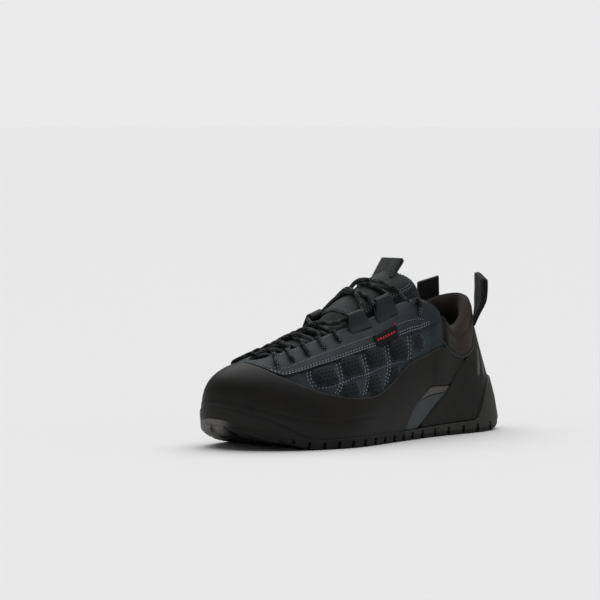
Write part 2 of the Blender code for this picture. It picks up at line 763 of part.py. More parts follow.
def make_pull(name, u, seat, lean_out, lean_x):
    """Folded webbing pull loop, sewn outside one back corner of the collar."""
    base = at(u, 0.80, CUFF_OUT + seat)
    out = outward(u)
    wide = unit(np.cross(out, [0, 0, 1.0])) * PULL_WIDTH
    up = unit(np.array([lean_x, 0, 1.0]) + out * lean_out)
    return strap(name, fold_path(base, up, out, 38.0, 2.1, 4.6), wide, PULL_THICK)


def make_tab():
    """Folded webbing tab at the top of the tongue."""
    base = tongue_at(5.0, 0.0, PANEL_GAP + PANEL_THICK + 1.9)
    up = unit([-0.84, 0, 0.52])
    out = unit([0.52, 0, 0.84])
    return strap("tongue_tab", fold_path(base, up, out, 14.0, 2.0, 3.0), [0, TAB_WIDTH, 0], TAB_THICK)


def loop_frame(row, inner_side):
    """Base, direction up and direction out of one lace loop, and its width's direction."""
    u = ROUND - row.u if inner_side else row.u
    base = at(u, 0.90, EYESTAY_OUT + 2.1)
    tip = at(u, 0.995, EYESTAY_OUT + 2.1)
    over = tongue_at(row.u, 0.42 if inner_side else -0.42, PANEL_GAP + PANEL_THICK + 4.2)
    along_edge = unit(surface(u + 0.2, 1.0) - surface(u - 0.2, 1.0))
    return base, tip, over, along_edge


def loop_path(row, inner_side):
    """Centre line of one folded lace loop: over the throat's edge, round the lace and back."""
    base, tip, over, along_edge = loop_frame(row, inner_side)
    way = over - tip
    up = unit(way - along_edge * (way @ along_edge))
    out = unit(np.cross(along_edge, up))
    if out[2] < 0:
        out = -out
    legs = (LOOP_THICK + 0.5) / 2
    turns = np.radians(np.arange(180, -1, -45))
    lower = [base - out * legs, tip - out * legs]
    fold = [over + LOOP_FOLD * (np.cos(t) * out + np.sin(t) * up) for t in turns]
    upper = [tip + out * legs, base + out * legs]
    return lower + fold + upper, over, along_edge


def make_lace_loop(name, row, inner_side):
    """Folded leather loop that carries the lace at one side of a row."""
    path, _, along_edge = loop_path(row, inner_side)
    return strap(name, path, along_edge * LOOP_WIDTH, LOOP_THICK)


def lace_end(row, inner_side, rearward):
    """Where the lace meets one side of a row: over a punched hole, or at a mouth of a loop."""
    if row.kind == "loop":
        _, over, along_edge = loop_path(row, inner_side)
        back = along_edge if along_edge[0] < 0 else -along_edge
        return over + back * (LOOP_WIDTH / 2 + LACE_RADIUS + 0.9) * (1 if rearward else -1)
    u = ROUND - row.u if inner_side else row.u
    return at(u, row.h, EYESTAY_OUT + LACE_RADIUS + LACE_SEAT)


def mouth_u(row, other):
    """Station at which a strand to another row leaves this one."""
    if row.kind == "top":
        return row.u + LACE_FORWARD_U
    if row.kind == "punched":
        return row.u
    return row.u + (-LOOP_MOUTH_U if other.u < row.u else LOOP_MOUTH_U)


def strand(outer_row, inner_row):
    """Path of one strand from the outer side of one row to the inner side of another."""
    path = [lace_end(outer_row, False, outer_row.u > inner_row.u)]
    start_u = mouth_u(outer_row, inner_row)
    end_u = mouth_u(inner_row, outer_row)
    shares = [0.13, 0.27, 0.39, 0.5, 0.61, 0.73, 0.87]
    if min(outer_row.u, inner_row.u) > 7.5:
        shares = [0.15, 0.33, 0.5, 0.67, 0.85]
    for share in shares:
        u = start_u + (end_u - start_u) * share
        row = inner_row if share > 0.5 else outer_row
        if share in (shares[0], shares[-1]):
            if row.kind == "loop":
                continue
            place = ROUND - u if share > 0.5 else u
            path.append(at(place, 1.0, EYESTAY_OUT + LACE_RADIUS + 0.9))
        else:
            across = (share - 0.5) * 1.75
            path.append(tongue_at(u, across, LACE_OVER))
    path.append(lace_end(inner_row, True, inner_row.u > outer_row.u))
    return path


def tube(path, radius):
    """Sections of a round cord along a path."""
    path = np.asarray(path, float)
    way = np.gradient(path, axis=0)
    rings = []
    for p, w in zip(path, way):
        w = unit(w)
        side = unit(np.cross(w, [0.0, 0.0, 1.0]))
        up = np.cross(side, w)
        angles = np.arange(LACE_SIDES) * 2 * np.pi / LACE_SIDES + 0.3
        rings.append([p + radius * (np.cos(a) * side + np.sin(a) * up) for a in angles])
    return [np.array(ring) for ring in rings]


def join(objects, name):
    """One object from overlapping ones."""
    first = objects[0]
    for other in objects[1:]:
        modifier = first.modifiers.new("join", "BOOLEAN")
        modifier.operation = "UNION"
        modifier.solver = "EXACT"
        modifier.object = other
        graph = bpy.context.evaluated_depsgraph_get()
        mesh = bpy.data.meshes.new_from_object(first.evaluated_get(graph))
        first.modifiers.clear()
        first.data = mesh
        bpy.data.objects.remove(other)
    first.name = name
    return first


def make_lace():
    """The lace's bar and crossings, joined where they meet."""
    strands = [strand(LACING[0], LACING[0])]
    for row in LACING:
        if row.kind == "loop":
            strands += [[lace_end(row, side, True), lace_end(row, side, False)] for side in (False, True)]
    for near, far in zip(LACING, LACING[1:]):
        strands.append(strand(near, far))
        strands.append(strand(far, near))
    parts = [loft(f"strand_{k}", tube(path, LACE_RADIUS)) for k, path in enumerate(strands)]
    return join(parts, "lace")


class Finish(NamedTuple):
    """One piece's plain look in this file: colour, metallic and roughness."""

    red: float
    green: float
    blue: float
    metallic: float
    rough: float


FINISHES = {
    "rubber": Finish(0.012, 0.011, 0.010, 0.0, 0.55),
    "tread": Finish(0.030, 0.030, 0.029, 0.0, 0.70),
    "foam": Finish(0.050, 0.055, 0.060, 0.0, 0.65),
    "suede": Finish(0.022, 0.027, 0.031, 0.0, 0.95),
    "lacing strip": Finish(0.030, 0.038, 0.042, 0.0, 0.80),
    "mesh": Finish(0.025, 0.020, 0.018, 0.0, 0.95),
    "webbing": Finish(0.010, 0.010, 0.011, 0.0, 0.85),
    "footbed": Finish(0.020, 0.020, 0.022, 0.0, 0.90),
}


def dress(obj, kind):
    """Gives a piece its own Principled material."""
    finish = FINISHES[kind]
    material = bpy.data.materials.new(f"{obj.name} {kind}")
    material.use_nodes = True
    shader = material.node_tree.nodes["Principled BSDF"]
    shader.inputs["Base Color"].default_value = (finish.red, finish.green, finish.blue, 1)
    shader.inputs["Metallic"].default_value = finish.metallic
    shader.inputs["Roughness"].default_value = finish.rough
    obj.data.materials.clear()
    obj.data.materials.append(material)


def centre_all(objects):
    """Moves every mesh so that the origin is the middle of the bottom of their box."""
    corners = np.array([v.co for obj in objects for v in obj.data.vertices])
    low, high = corners.min(axis=0), corners.max(axis=0)
    shift = np.array([(low[0] + high[0]) / 2, (low[1] + high[1]) / 2, low[2]])
    for obj in objects:
        for vertex in obj.data.vertices:
            vertex.co = np.array(vertex.co) - shift
    print("origin in the form, mm:", np.round(shift * 1000, 3))
    print("box, mm:", np.round((high - low) * 1000, 2))


def main():
    """Builds every piece, dresses it and sets the origin."""
    for obj in list(bpy.data.objects):
        bpy.data.objects.remove(obj)
    pieces = [
        (make_outsole(), "tread"),
        (make_midsole(), "foam"),
        (make_insole(), "footbed"),
        (make_upper(), "suede"),
        (make_rand(), "rubber"),
        (make_counter(), "rubber"),
        (make_arch_band("arch_band_outer", False), "foam"),
        (make_arch_band("arch_band_inner", True), "foam"),
        (make_eyestay(), "lacing strip"),
        (make_label(), "webbing"),
        (make_collar(), "mesh"),
        (make_tongue(), "mesh"),
        (make_tongue_panel(), "lacing strip"),
        (make_tab(), "webbing"),
        (make_pull("pull_loop_outer", 1.25, 1.4, 0.12, 0.0), "webbing"),
        (make_pull("pull_loop_inner", 22.5, 2.4, -0.1, 0.1), "webbing"),
        (make_lace_loop("lace_loop_front_outer", LACING[5], False), "lacing strip"),
        (make_lace_loop("lace_loop_front_inner", LACING[5], True), "lacing strip"),
        (make_lace_loop("lace_loop_rear_outer", LACING[6], False), "lacing strip"),
        (make_lace_loop("lace_loop_rear_inner", LACING[6], True), "lacing strip"),
        (make_lace(), "webbing"),
    ]
    for obj, kind in pieces:
        dress(obj, kind)
    centre_all([obj for obj, _ in pieces])


main()
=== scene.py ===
"""Approach shoe, left foot: the finishes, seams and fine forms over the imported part.

Lengths are millimetres on the shoe's form and metres in the scene. The form is the one that the
part's own source draws: a place on it is (u, h), where u counts the stations round the shoe from
0 at the heel along the outer side to 12 at the toe and back along the inner side to 24, and h
climbs the wall from 0 at the top of the outsole's edge to 1 at the topline. Pieces that repeat a
part's solid are finer skins of the same form, so they lie where the solid lies.
"""

import logging
import math
from dataclasses import dataclass, field
from enum import Enum
from typing import Callable, NamedTuple, Sequence

import bmesh
import bpy
import numpy as np
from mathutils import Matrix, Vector


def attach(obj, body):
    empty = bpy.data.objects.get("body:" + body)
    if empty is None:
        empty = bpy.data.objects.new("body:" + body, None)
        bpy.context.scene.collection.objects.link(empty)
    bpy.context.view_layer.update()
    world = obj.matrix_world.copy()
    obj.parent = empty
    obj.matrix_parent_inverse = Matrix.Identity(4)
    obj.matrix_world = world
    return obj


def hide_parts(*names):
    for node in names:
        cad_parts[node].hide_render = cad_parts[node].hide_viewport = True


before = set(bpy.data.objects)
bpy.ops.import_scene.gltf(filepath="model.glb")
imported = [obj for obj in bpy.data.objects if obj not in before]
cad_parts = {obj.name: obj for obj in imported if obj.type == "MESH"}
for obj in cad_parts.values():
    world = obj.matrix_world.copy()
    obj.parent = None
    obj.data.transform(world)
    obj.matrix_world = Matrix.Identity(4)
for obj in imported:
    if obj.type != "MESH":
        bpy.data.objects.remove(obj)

LOG = logging.getLogger("approach_shoe")
MM = 0.001
TOE = 12.0
ROUND = 24.0
UP = np.array([0.0, 0.0, 1.0])

# The frame's origin on the form, in millimetres.
ORIGIN = np.array([133.273, 0.664, 0.0])

# Distances outwards from the form, as in the part's source.
WALL = 2.4
OVERLAY_IN = 0.5
RAND_OUT = 2.3
EYESTAY_OUT = 1.6
CUFF_OUT = 2.9
COLLAR_PAD = 7.2
SEAM_H = 0.003
FEATHER_H = 0.100
EDGE_OUT = 3.6
TOE_EDGE_OUT = 3.7
HEEL_PLATE_OUT = 4.9
LIP_IN = 2.0
TONGUE_IN = 0.9
PANEL_GAP = 0.6
PANEL_THICK = 1.3
LACE_RADIUS = 1.6
WEBBING_THICK = 1.5

# Millimetres of cloth to one unit of its map.
MAP_MM = 10.0

Grid = np.ndarray
Line = Callable[[np.ndarray], np.ndarray]
PointAt = Callable[[int], np.ndarray]
NewPoint = Callable[[np.ndarray], int]


class Side(Enum):
    """The two sides of the shoe."""

    OUTER = "outer"
    INNER = "inner"

    def u(self, station: float) -> float:
        """The station on this side of one that is counted from the heel."""
        return station if self is Side.OUTER else ROUND - station

    def stations(self, u: np.ndarray) -> np.ndarray:
        """The stations on this side of those that are counted from the heel, in rising order."""
        return u if self is Side.OUTER else (ROUND - u)[::-1]

    def other(self) -> "Side":
        """The other side."""
        return Side.INNER if self is Side.OUTER else Side.OUTER


class Station(NamedTuple):
    """One upright section of the form: foot of the wall, topline, and the wall's two ends."""

    name: str
    foot_x: float
    foot_y: float
    top_x: float
    top_y: float
    top_z: float
    lean: float
    rise: float
    fall: float
    reach: float


STATIONS = [
    Station("heel centre", -1.5, 0.0, 18.5, 0.0, 102.0, -10, 34, 84, 30),
    Station("heel quarter, outer", 7.0, 21.0, 26.0, 12.5, 97.5, -8, 32, 84, 28),
    Station("heel side, outer", 29.0, 32.5, 41.0, 22.5, 87.5, -4, 28, 82, 24),
    Station("ankle, outer", 56.0, 34.5, 60.0, 26.5, 80.0, -1, 24, 82, 20),
    Station("collar front, outer", 82.0, 34.5, 74.0, 26.0, 91.5, 1, 24, 72, 24),
    Station("top eyelet, outer", 110.0, 37.0, 94.0, 20.0, 101.5, 3, 24, 44, 24),
    Station("instep, outer", 137.0, 41.5, 128.0, 16.5, 92.5, 5, 23, 34, 24),
    Station("waist, outer", 165.0, 46.5, 155.0, 14.5, 84.5, 6, 23, 30, 26),
    Station("ball, outer", 192.0, 49.0, 180.0, 12.0, 78.0, 7, 22, 27, 27),
    Station("front of ball, outer", 218.0, 43.5, 204.0, 9.0, 71.0, 8, 23, 24, 27),
    Station("toe side, outer", 241.0, 32.0, 224.0, 5.5, 66.0, 8, 25, 20, 28),
    Station("toe corner, outer", 260.0, 13.5, 236.0, 0.5, 62.5, 8, 26, 16, 28),
    Station("toe tip", 268.5, -7.0, 240.0, -5.5, 61.5, 8, 26, 14, 27),
    Station("toe corner, inner", 267.0, -23.0, 236.0, -11.0, 62.0, 8, 26, 16, 28),
    Station("toe side, inner", 253.5, -37.5, 224.0, -15.5, 65.0, 8, 25, 20, 28),
    Station("front of ball, inner", 229.0, -45.0, 204.0, -19.5, 69.0, 8, 23, 24, 27),
    Station("ball, inner", 200.0, -47.5, 180.0, -22.0, 75.5, 7, 22, 27, 27),
    Station("waist, inner", 171.0, -42.0, 155.0, -23.5, 82.0, 6, 23, 30, 26),
    Station("instep, inner", 141.0, -33.0, 128.0, -24.5, 90.5, 5, 23, 36, 24),
    Station("top eyelet, inner", 112.0, -28.0, 94.0, -24.5, 100.5, 3, 24, 50, 24),
    Station("collar front, inner", 82.0, -29.5, 74.0, -26.5, 92.5, 1, 24, 74, 24),
    Station("ankle, inner", 55.0, -33.0, 59.0, -26.5, 84.5, -1, 24, 82, 20),
    Station("heel side, inner", 28.0, -32.0, 39.0, -23.5, 94.0, -4, 28, 82, 24),
    Station("heel quarter, inner", 7.0, -20.5, 25.0, -14.0, 100.5, -8, 32, 84, 28),
]


class Edge(NamedTuple):
    """One place on a line drawn on the form, with u counted from the heel on either side."""

    u: float
    h: float


COLLAR_EDGE = [
    Edge(0.0, 0.900), Edge(0.6, 0.890), Edge(1.1, 0.860), Edge(1.5, 0.785), Edge(1.88, 0.685),
    Edge(2.13, 0.645), Edge(2.59, 0.633), Edge(2.93, 0.651), Edge(3.4, 0.689), Edge(3.86, 0.698),
    Edge(4.15, 0.753), Edge(4.4, 0.810),
]
COUNTER_FRONT = [
    Edge(2.25, 0.649), Edge(2.82, 0.574), Edge(3.39, 0.458), Edge(3.62, 0.369), Edge(3.85, 0.294),
    Edge(4.49, 0.135), Edge(5.09, 0.0),
]
RAND_REAR = [
    Edge(2.25, 0.649), Edge(2.82, 0.574), Edge(3.39, 0.458), Edge(3.62, 0.369), Edge(4.09, 0.352),
    Edge(4.47, 0.337), Edge(4.9, 0.248), Edge(5.29, 0.193), Edge(5.77, 0.0),
]
RAND_TOP = [
    Edge(3.86, 0.698), Edge(4.12, 0.658), Edge(4.54, 0.566), Edge(4.93, 0.520), Edge(5.32, 0.496),
    Edge(5.73, 0.467), Edge(6.12, 0.423), Edge(6.61, 0.373), Edge(7.09, 0.346), Edge(7.71, 0.360),
    Edge(8.24, 0.389), Edge(8.71, 0.428), Edge(9.16, 0.483), Edge(9.61, 0.542), Edge(10.06, 0.609),
    Edge(10.41, 0.684), Edge(10.77, 0.773), Edge(11.2, 0.850), Edge(11.6, 0.890), Edge(12.0, 0.900),
]
EYESTAY_LOW = [
    Edge(3.95, 0.955), Edge(4.1, 0.900), Edge(4.44, 0.794), Edge(4.75, 0.722), Edge(5.13, 0.693),
    Edge(5.99, 0.696), Edge(7.03, 0.708), Edge(8.05, 0.704), Edge(8.87, 0.702), Edge(9.62, 0.676),
    Edge(10.05, 0.640), Edge(10.41, 0.700), Edge(10.77, 0.789), Edge(11.2, 0.866),
    Edge(11.6, 0.906), Edge(12.0, 0.916),
]
UPPER_TOP = [Edge(0.0, 0.955), Edge(3.8, 0.955), Edge(4.0, 1.0), Edge(12.0, 1.0)]
HEEL_PLATE = [
    Edge(0.0, 0.330), Edge(1.0, 0.325), Edge(1.64, 0.303), Edge(2.06, 0.212), Edge(2.31, 0.086),
    Edge(2.46, 0.003), Edge(12.0, 0.003),
]
BAND_DIVIDER = [Edge(3.62, 0.335), Edge(3.85, 0.304), Edge(4.4, 0.276), Edge(4.9, 0.236), Edge(5.2, 0.19)]


def spline(values: np.ndarray, u: np.ndarray) -> np.ndarray:
    """Closed smooth curve through rows of values that stand at u = 0, 1, 2 and so on.

    Args:
        values: One row for each whole number.
        u: Places to read.

    Returns:
        One row for each u.
    """
    count = len(values)
    weights = 4 * np.eye(count) + np.roll(np.eye(count), 1, 0) + np.roll(np.eye(count), -1, 0)
    slopes = np.linalg.solve(weights, 3 * (np.roll(values, -1, 0) - np.roll(values, 1, 0)))
    u = np.asarray(u, float) % count
    k = np.floor(u).astype(int) % count
    t = (u - np.floor(u))[..., None]
    start, end = values[k], values[(k + 1) % count]
    first, last = slopes[k], slopes[(k + 1) % count]
    return (
        (2 * t**3 - 3 * t**2 + 1) * start
        + (t**3 - 2 * t**2 + t) * first
        + (3 * t**2 - 2 * t**3) * end
        + (t**3 - t**2) * last
    )


def smooth(a: np.ndarray) -> np.ndarray:
    """Eased step: 0 below 0, 1 above 1 and smooth between."""
    a = np.clip(a, 0, 1)
    return a * a * (3 - 2 * a)


def folded(u: np.ndarray) -> np.ndarray:
    """u counted from the heel on either side."""
    u = np.asarray(u, float) % ROUND
    return np.minimum(u, ROUND - u)


def along(edges: Sequence[Edge], u: np.ndarray) -> np.ndarray:
    """Height of a line of edges at u, rounded over its corners.

    Args:
        edges: The line's places.
        u: Where to read it.

    Returns:
        The heights h.
    """
    at_u = folded(u)
    knots = [edge.u for edge in edges]
    heights = [edge.h for edge in edges]
    spread = np.array([-0.16, -0.08, 0.0, 0.08, 0.16])
    weights = np.array([1.0, 2.0, 3.0, 2.0, 1.0]) / 9
    near = np.clip(at_u[..., None] + spread, knots[0], knots[-1])
    soft = (np.interp(near, knots, heights) * weights).sum(-1)
    ends = np.minimum(at_u - knots[0], knots[-1] - at_u)
    share = smooth(ends / 0.2)
    return np.interp(at_u, knots, heights) * (1 - share) + soft * share


def run_along(path: np.ndarray) -> np.ndarray:
    """Length of a path from its first point to each of its points."""
    return np.concatenate([[0], np.cumsum(np.linalg.norm(np.diff(path, axis=0), axis=1))])


@dataclass(frozen=True)
class Form:
    """The outer form that carries every piece, and the ground line under it.

    Attributes:
        toe_spring: Height of the tread at the toe's end.
        spring_from: Where the toe starts to rise.
        spring_run: Length over which it rises.
        heel_bevel: Height of the tread at the heel's back.
        bevel_from: Where the heel starts to rise.
        bevel_run: Length over which it rises.
        edge_fore: Height of the outsole's edge under the forefoot.
        edge_heel_rise: How much higher the edge is at the heel.
        edge_rise_from: Where the edge starts to climb.
        rows: The stations' numbers, one row each.
    """

    toe_spring: float = 17.0
    spring_from: float = 218.0
    spring_run: float = 50.0
    heel_bevel: float = 7.0
    bevel_from: float = 34.0
    bevel_run: float = 38.0
    edge_fore: float = 6.4
    edge_heel_rise: float = 4.2
    edge_rise_from: float = 150.0
    rows: np.ndarray = field(default_factory=lambda: np.array([s[1:] for s in STATIONS], float))

    def ground(self, x: np.ndarray) -> np.ndarray:
        """Height of the lugs' undersides at x.

        Args:
            x: Places from the heel to the toe, in millimetres.

        Returns:
            Heights in millimetres.
        """
        toe = np.clip((x - self.spring_from) / self.spring_run, 0, 1.1)
        heel = np.clip((self.bevel_from - x) / self.bevel_run, 0, 1)
        return self.toe_spring * toe**1.7 + self.heel_bevel * heel**1.7

    def edge_top(self, x: np.ndarray) -> np.ndarray:
        """Height of the top of the outsole's edge at x.

        Args:
            x: Places from the heel to the toe, in millimetres.

        Returns:
            Heights in millimetres.
        """
        back = np.clip((self.edge_rise_from - x) / self.edge_rise_from, 0, 1)
        toe = np.clip((x - self.spring_from) / self.spring_run, 0, 1.1)
        return self.edge_fore + self.edge_heel_rise * back + self.toe_spring * toe**1.7

    def outward(self, u: np.ndarray) -> np.ndarray:
        """Level direction away from the shoe at the foot of the wall.

        Args:
            u: Stations.

        Returns:
            Directions of length one.
        """
        u = np.asarray(u, float)
        ahead = spline(self.rows[:, :2], u + 1e-3) - spline(self.rows[:, :2], u - 1e-3)
        ahead /= np.linalg.norm(ahead, axis=-1, keepdims=True)
        return np.stack([-ahead[..., 1], ahead[..., 0], 0 * ahead[..., 0]], -1)

    def surface(self, u: np.ndarray, h: np.ndarray) -> np.ndarray:
        """Point of the form at (u, h).

        Args:
            u: Stations.
            h: Heights, which broadcast with u.

        Returns:
            Points in millimetres.
        """
        u, h = np.broadcast_arrays(np.asarray(u, float), np.asarray(h, float))
        row = spline(self.rows, u)
        foot_x, foot_y, top_x, top_y, top_z, lean, rise, fall, reach = (
            row[..., k, None] for k in range(9)
        )
        foot = np.concatenate([foot_x, foot_y, self.edge_top(foot_x)], -1)
        top = np.concatenate([top_x, top_y, top_z], -1)
        out = self.outward(u)
        lean, fall_angle = np.radians(lean), np.radians(fall)
        low = foot + rise * (np.sin(lean) * out + np.cos(lean) * UP)
        way = (foot - top) * np.array([1, 1, 0])
        length = np.linalg.norm(way, axis=-1, keepdims=True) + 1e-9
        share = np.clip(length / 12, 0, 1) * np.clip((80 - fall) / 20, 0, 1)
        way = way / length * share + out * (1 - share)
        way /= np.linalg.norm(way, axis=-1, keepdims=True)
        high = top + reach * (np.cos(fall_angle) * way - np.sin(fall_angle) * UP)
        t = h[..., None]
        return (
            (1 - t) ** 3 * foot + 3 * (1 - t) ** 2 * t * low + 3 * (1 - t) * t**2 * high + t**3 * top
        )

    def normal(self, u: np.ndarray, h: np.ndarray) -> np.ndarray:
        """Direction outwards from the form at (u, h).

        Args:
            u: Stations.
            h: Heights, which broadcast with u.

        Returns:
            Directions of length one.
        """
        u, h = np.broadcast_arrays(np.asarray(u, float), np.asarray(h, float))
        step = 1e-3
        around = self.surface(u + step, h) - self.surface(u - step, h)
        climb = self.surface(u, np.minimum(h + step, 1)) - self.surface(u, np.maximum(h - step, 0))
        normal = np.cross(climb, around)
        return normal / np.linalg.norm(normal, axis=-1, keepdims=True)

    def at(self, u: np.ndarray, h: np.ndarray, out: np.ndarray) -> np.ndarray:
        """Point at a distance outwards from the form.

        Args:
            u: Stations.
            h: Heights.
            out: Distances in millimetres; the three broadcast together.

        Returns:
            Points in millimetres.
        """
        u, h, out = np.broadcast_arrays(*(np.asarray(a, float) for a in (u, h, out)))
        return self.surface(u, h) + self.normal(u, h) * out[..., None]

    def stations(self, start: float, end: float, h: float, step: float) -> np.ndarray:
        """Stations from start to end that lie about a step apart at a height.

        Args:
            start: First station.
            end: Last station.
            h: Height at which the step is measured.
            step: Distance in millimetres.

        Returns:
            The stations, with the two ends.
        """
        fine = np.linspace(start, end, 1200)
        run = run_along(self.surface(fine, h))
        count = max(2, int(round(run[-1] / step)) + 1)
        return np.interp(np.linspace(0, run[-1], count), run, fine)

    def heights(self, u: np.ndarray, low: np.ndarray, high: np.ndarray) -> np.ndarray:
        """Length of the wall in millimetres from low to high at each station.

        Args:
            u: Stations.
            low: Lower height h at each.
            high: Upper height h at each.

        Returns:
            Lengths in millimetres.
        """
        share = np.linspace(0, 1, 14)[None, :]
        h = low[:, None] + (high - low)[:, None] * share
        path = self.surface(u[:, None] + 0 * h, h)
        return np.linalg.norm(np.diff(path, axis=1), axis=2).sum(axis=1)


FORM = Form()


def linear(hex_colour: str) -> tuple[float, float, float, float]:
    """Linear colour of an sRGB hex value.

    Args:
        hex_colour: Six hex digits, with or without a leading mark.

    Returns:
        Red, green, blue and alpha as a shader takes them.
    """
    digits = hex_colour.lstrip("#")
    parts = [int(digits[k:k + 2], 16) / 255 for k in (0, 2, 4)]
    red, green, blue = (p / 12.92 if p <= 0.04045 else ((p + 0.055) / 1.055) ** 2.4 for p in parts)
    return red, green, blue, 1.0


def add(tree: bpy.types.NodeTree, kind: str, settings: dict, links: dict | None = None,
        feeds: bpy.types.NodeSocket | None = None) -> bpy.types.Node:
    """Adds one node with its settings and its links.

    Args:
        tree: The node tree.
        kind: Node type, without Blender's ShaderNode prefix.
        settings: Socket name or number, or attribute, to its value; "stops" holds a ramp's places
            from 0 to 1 with their sRGB hex colours, in order.
        links: Socket name or number to the output that feeds it, or to a node for its first output.
        feeds: Socket that the node's first output feeds.

    Returns:
        The new node.
    """
    node = tree.nodes.new(f"ShaderNode{kind}")
    for key, value in settings.items():
        if key == "stops":
            elements = node.color_ramp.elements
            while len(elements) < len(value):
                elements.new(1.0)
            for element, (place, colour) in zip(elements, value):
                element.position = place
                element.color = linear(colour)
        elif isinstance(key, str) and hasattr(node, key):
            setattr(node, key, value)
        else:
            node.inputs[key].default_value = value
    for key, source in (links or {}).items():
        output = source.outputs[0] if isinstance(source, bpy.types.Node) else source
        tree.links.new(output, node.inputs[key])
    if feeds is not None:
        tree.links.new(node.outputs[0], feeds)
    return node


def scale(size_mm: float) -> float:
    """Scale of a pattern over object places whose cells are so many millimetres wide."""
    return 1 / (size_mm * MM)


@dataclass(frozen=True)
class Finish:
    """A surface finish: a base for the finishes below.

    Attributes:
        name: The material's name.
        colour: Main sRGB hex colour.
        shade: A darker or lighter sRGB hex colour that mottles it.
        rough: Roughness.
        ior: Index of refraction.
        specular: Share of the plain reflection that the worn, dusty skin keeps.
    """

    name: str
    colour: str
    shade: str
    rough: float
    ior: float = 1.5
    specular: float = 0.25

    def pattern(self, tree: bpy.types.NodeTree, shader: bpy.types.Node) -> None:
        """Adds the finish's pattern; a plain finish has none."""

    def material(self) -> bpy.types.Material:
        """The finish's material, made once.

        Returns:
            The material, with its shader's plain values and its pattern.
        """
        made = bpy.data.materials.get(self.name)
        if made is None:
            made = bpy.data.materials.new(self.name)
            made.use_nodes = True
            shader = made.node_tree.nodes["Principled BSDF"]
            plain = {"Base Color": linear(self.colour), "Roughness": self.rough, "IOR": self.ior,
                     "Specular IOR Level": self.specular}
            for socket, value in plain.items():
                shader.inputs[socket].default_value = value
            self.pattern(made.node_tree, shader)
        return made


@dataclass(frozen=True)
class MouldedRubber(Finish):
    """Climbing rubber, moulded and buffed: a satin skin with faint clouding and fine pores.

    Attributes:
        cloud_mm: Size of the clouding.
        pore_mm: Size of the pores.
        pore_depth: Strength of the pores' bump.
        smoother: How much smoother than its mean roughness the skin is in places.
        rougher: How much rougher it is in others.
    """

    cloud_mm: float = 22.0
    pore_mm: float = 0.7
    pore_depth: float = 0.05
    smoother: float = 0.07
    rougher: float = 0.09

    def pattern(self, tree: bpy.types.NodeTree, shader: bpy.types.Node) -> None:
        """Clouded colour and roughness, and pores as a light bump.

        Args:
            tree: The material's node tree.
            shader: Its surface shader.
        """
        skin = shader.inputs
        place = add(tree, "TexCoord", {}).outputs["Object"]
        cloud = add(tree, "TexNoise", {"Scale": scale(self.cloud_mm), "Detail": 4.0}, {"Vector": place})
        add(tree, "ValToRGB", {"stops": [(0.3, self.shade), (0.7, self.colour)]}, {0: cloud},
            skin["Base Color"])
        add(tree, "MapRange", {3: self.rough - self.smoother, 4: self.rough + self.rougher}, {0: cloud},
            skin["Roughness"])
        pores = add(tree, "TexNoise", {"Scale": scale(self.pore_mm), "Detail": 2.0}, {"Vector": place})
        add(tree, "Bump", {"Strength": self.pore_depth, "Distance": 0.4 * MM}, {"Height": pores},
            skin["Normal"])


@dataclass(frozen=True)
class SoleRubber(MouldedRubber):
    """Sole rubber, moulded: dark and matte, with a painted highlight on the smooth lip under the toe.

    Attributes:
        lip: sRGB hex colour of the painted highlight on the lip.
        highlight_from: Where the painted highlight starts, in metres towards the toe's inner corner.
        highlight_to: Where the painted highlight is brightest.
        inwards: Weight of the way inwards against the way to the toe, in those metres.
    """

    lip: str = "#6b6967"
    highlight_from: float = 0.132
    highlight_to: float = 0.147
    inwards: float = 0.9

    def pattern(self, tree: bpy.types.NodeTree, shader: bpy.types.Node) -> None:
        """The moulded skin, with a painted highlight that grows towards the toe's tip.

        Args:
            tree: The material's node tree.
            shader: Its surface shader.
        """
        super().pattern(tree, shader)
        colour = shader.inputs["Base Color"]
        body = colour.links[0].from_socket
        # Painted highlight: the pale lip colour is mixed in towards the toe's inner corner, where the
        # smooth lip catches the light.
        parts = add(tree, "SeparateXYZ", {}, {0: add(tree, "TexCoord", {}).outputs["Object"]})
        corner = add(tree, "Math", {"operation": "MULTIPLY_ADD", 1: -self.inwards},
                     {0: parts.outputs[1], 2: parts.outputs[0]})
        highlight_ramp = {"interpolation_type": "SMOOTHSTEP", 1: self.highlight_from, 2: self.highlight_to}
        share = add(tree, "MapRange", highlight_ramp, {0: corner})
        add(tree, "MixRGB", {2: linear(self.lip)}, {0: share, 1: body}, colour)


@dataclass(frozen=True)
class Suede(Finish):
    """Split leather with a raised nap, brushed: soft mottling, pale fibre ends and no gloss.

    Attributes:
        nap_mm: Width of a tuft of nap.
        patch_mm: Width of a patch that the brush left lying one way.
        sheen: Weight of the fibre ends' sheen.
        tips: sRGB hex colour of the fibre ends.
    """

    nap_mm: float = 0.9
    patch_mm: float = 25 / 3
    sheen: float = 0.35
    tips: str = "#9aa4aa"

    def pattern(self, tree: bpy.types.NodeTree, shader: bpy.types.Node) -> None:
        """Mottled colour, fibrous bump and sheen.

        Args:
            tree: The material's node tree.
            shader: Its surface shader.
        """
        skin = shader.inputs
        place = add(tree, "TexCoord", {}).outputs["Object"]
        patches = add(tree, "TexNoise", {"Scale": scale(self.patch_mm), "Detail": 5.0}, {"Vector": place})
        nap = {"Scale": scale(self.nap_mm), "Detail": 4.0, "Roughness": 0.7}
        fibres = add(tree, "TexNoise", nap, {"Vector": place})
        half = add(tree, "Math", {"operation": "MULTIPLY", 1: 0.5}, {0: fibres})
        both = add(tree, "Math", {"operation": "MULTIPLY_ADD", 1: 0.5}, {0: patches, 2: half})
        add(tree, "ValToRGB", {"stops": [(0.36, self.shade), (0.62, self.colour)]}, {0: both},
            skin["Base Color"])
        add(tree, "Bump", {"Strength": 0.5, "Distance": 0.5 * MM}, {"Height": fibres}, skin["Normal"])
        skin["Sheen Weight"].default_value = self.sheen
        skin["Sheen Roughness"].default_value = 0.5
        skin["Sheen Tint"].default_value = linear(self.tips)


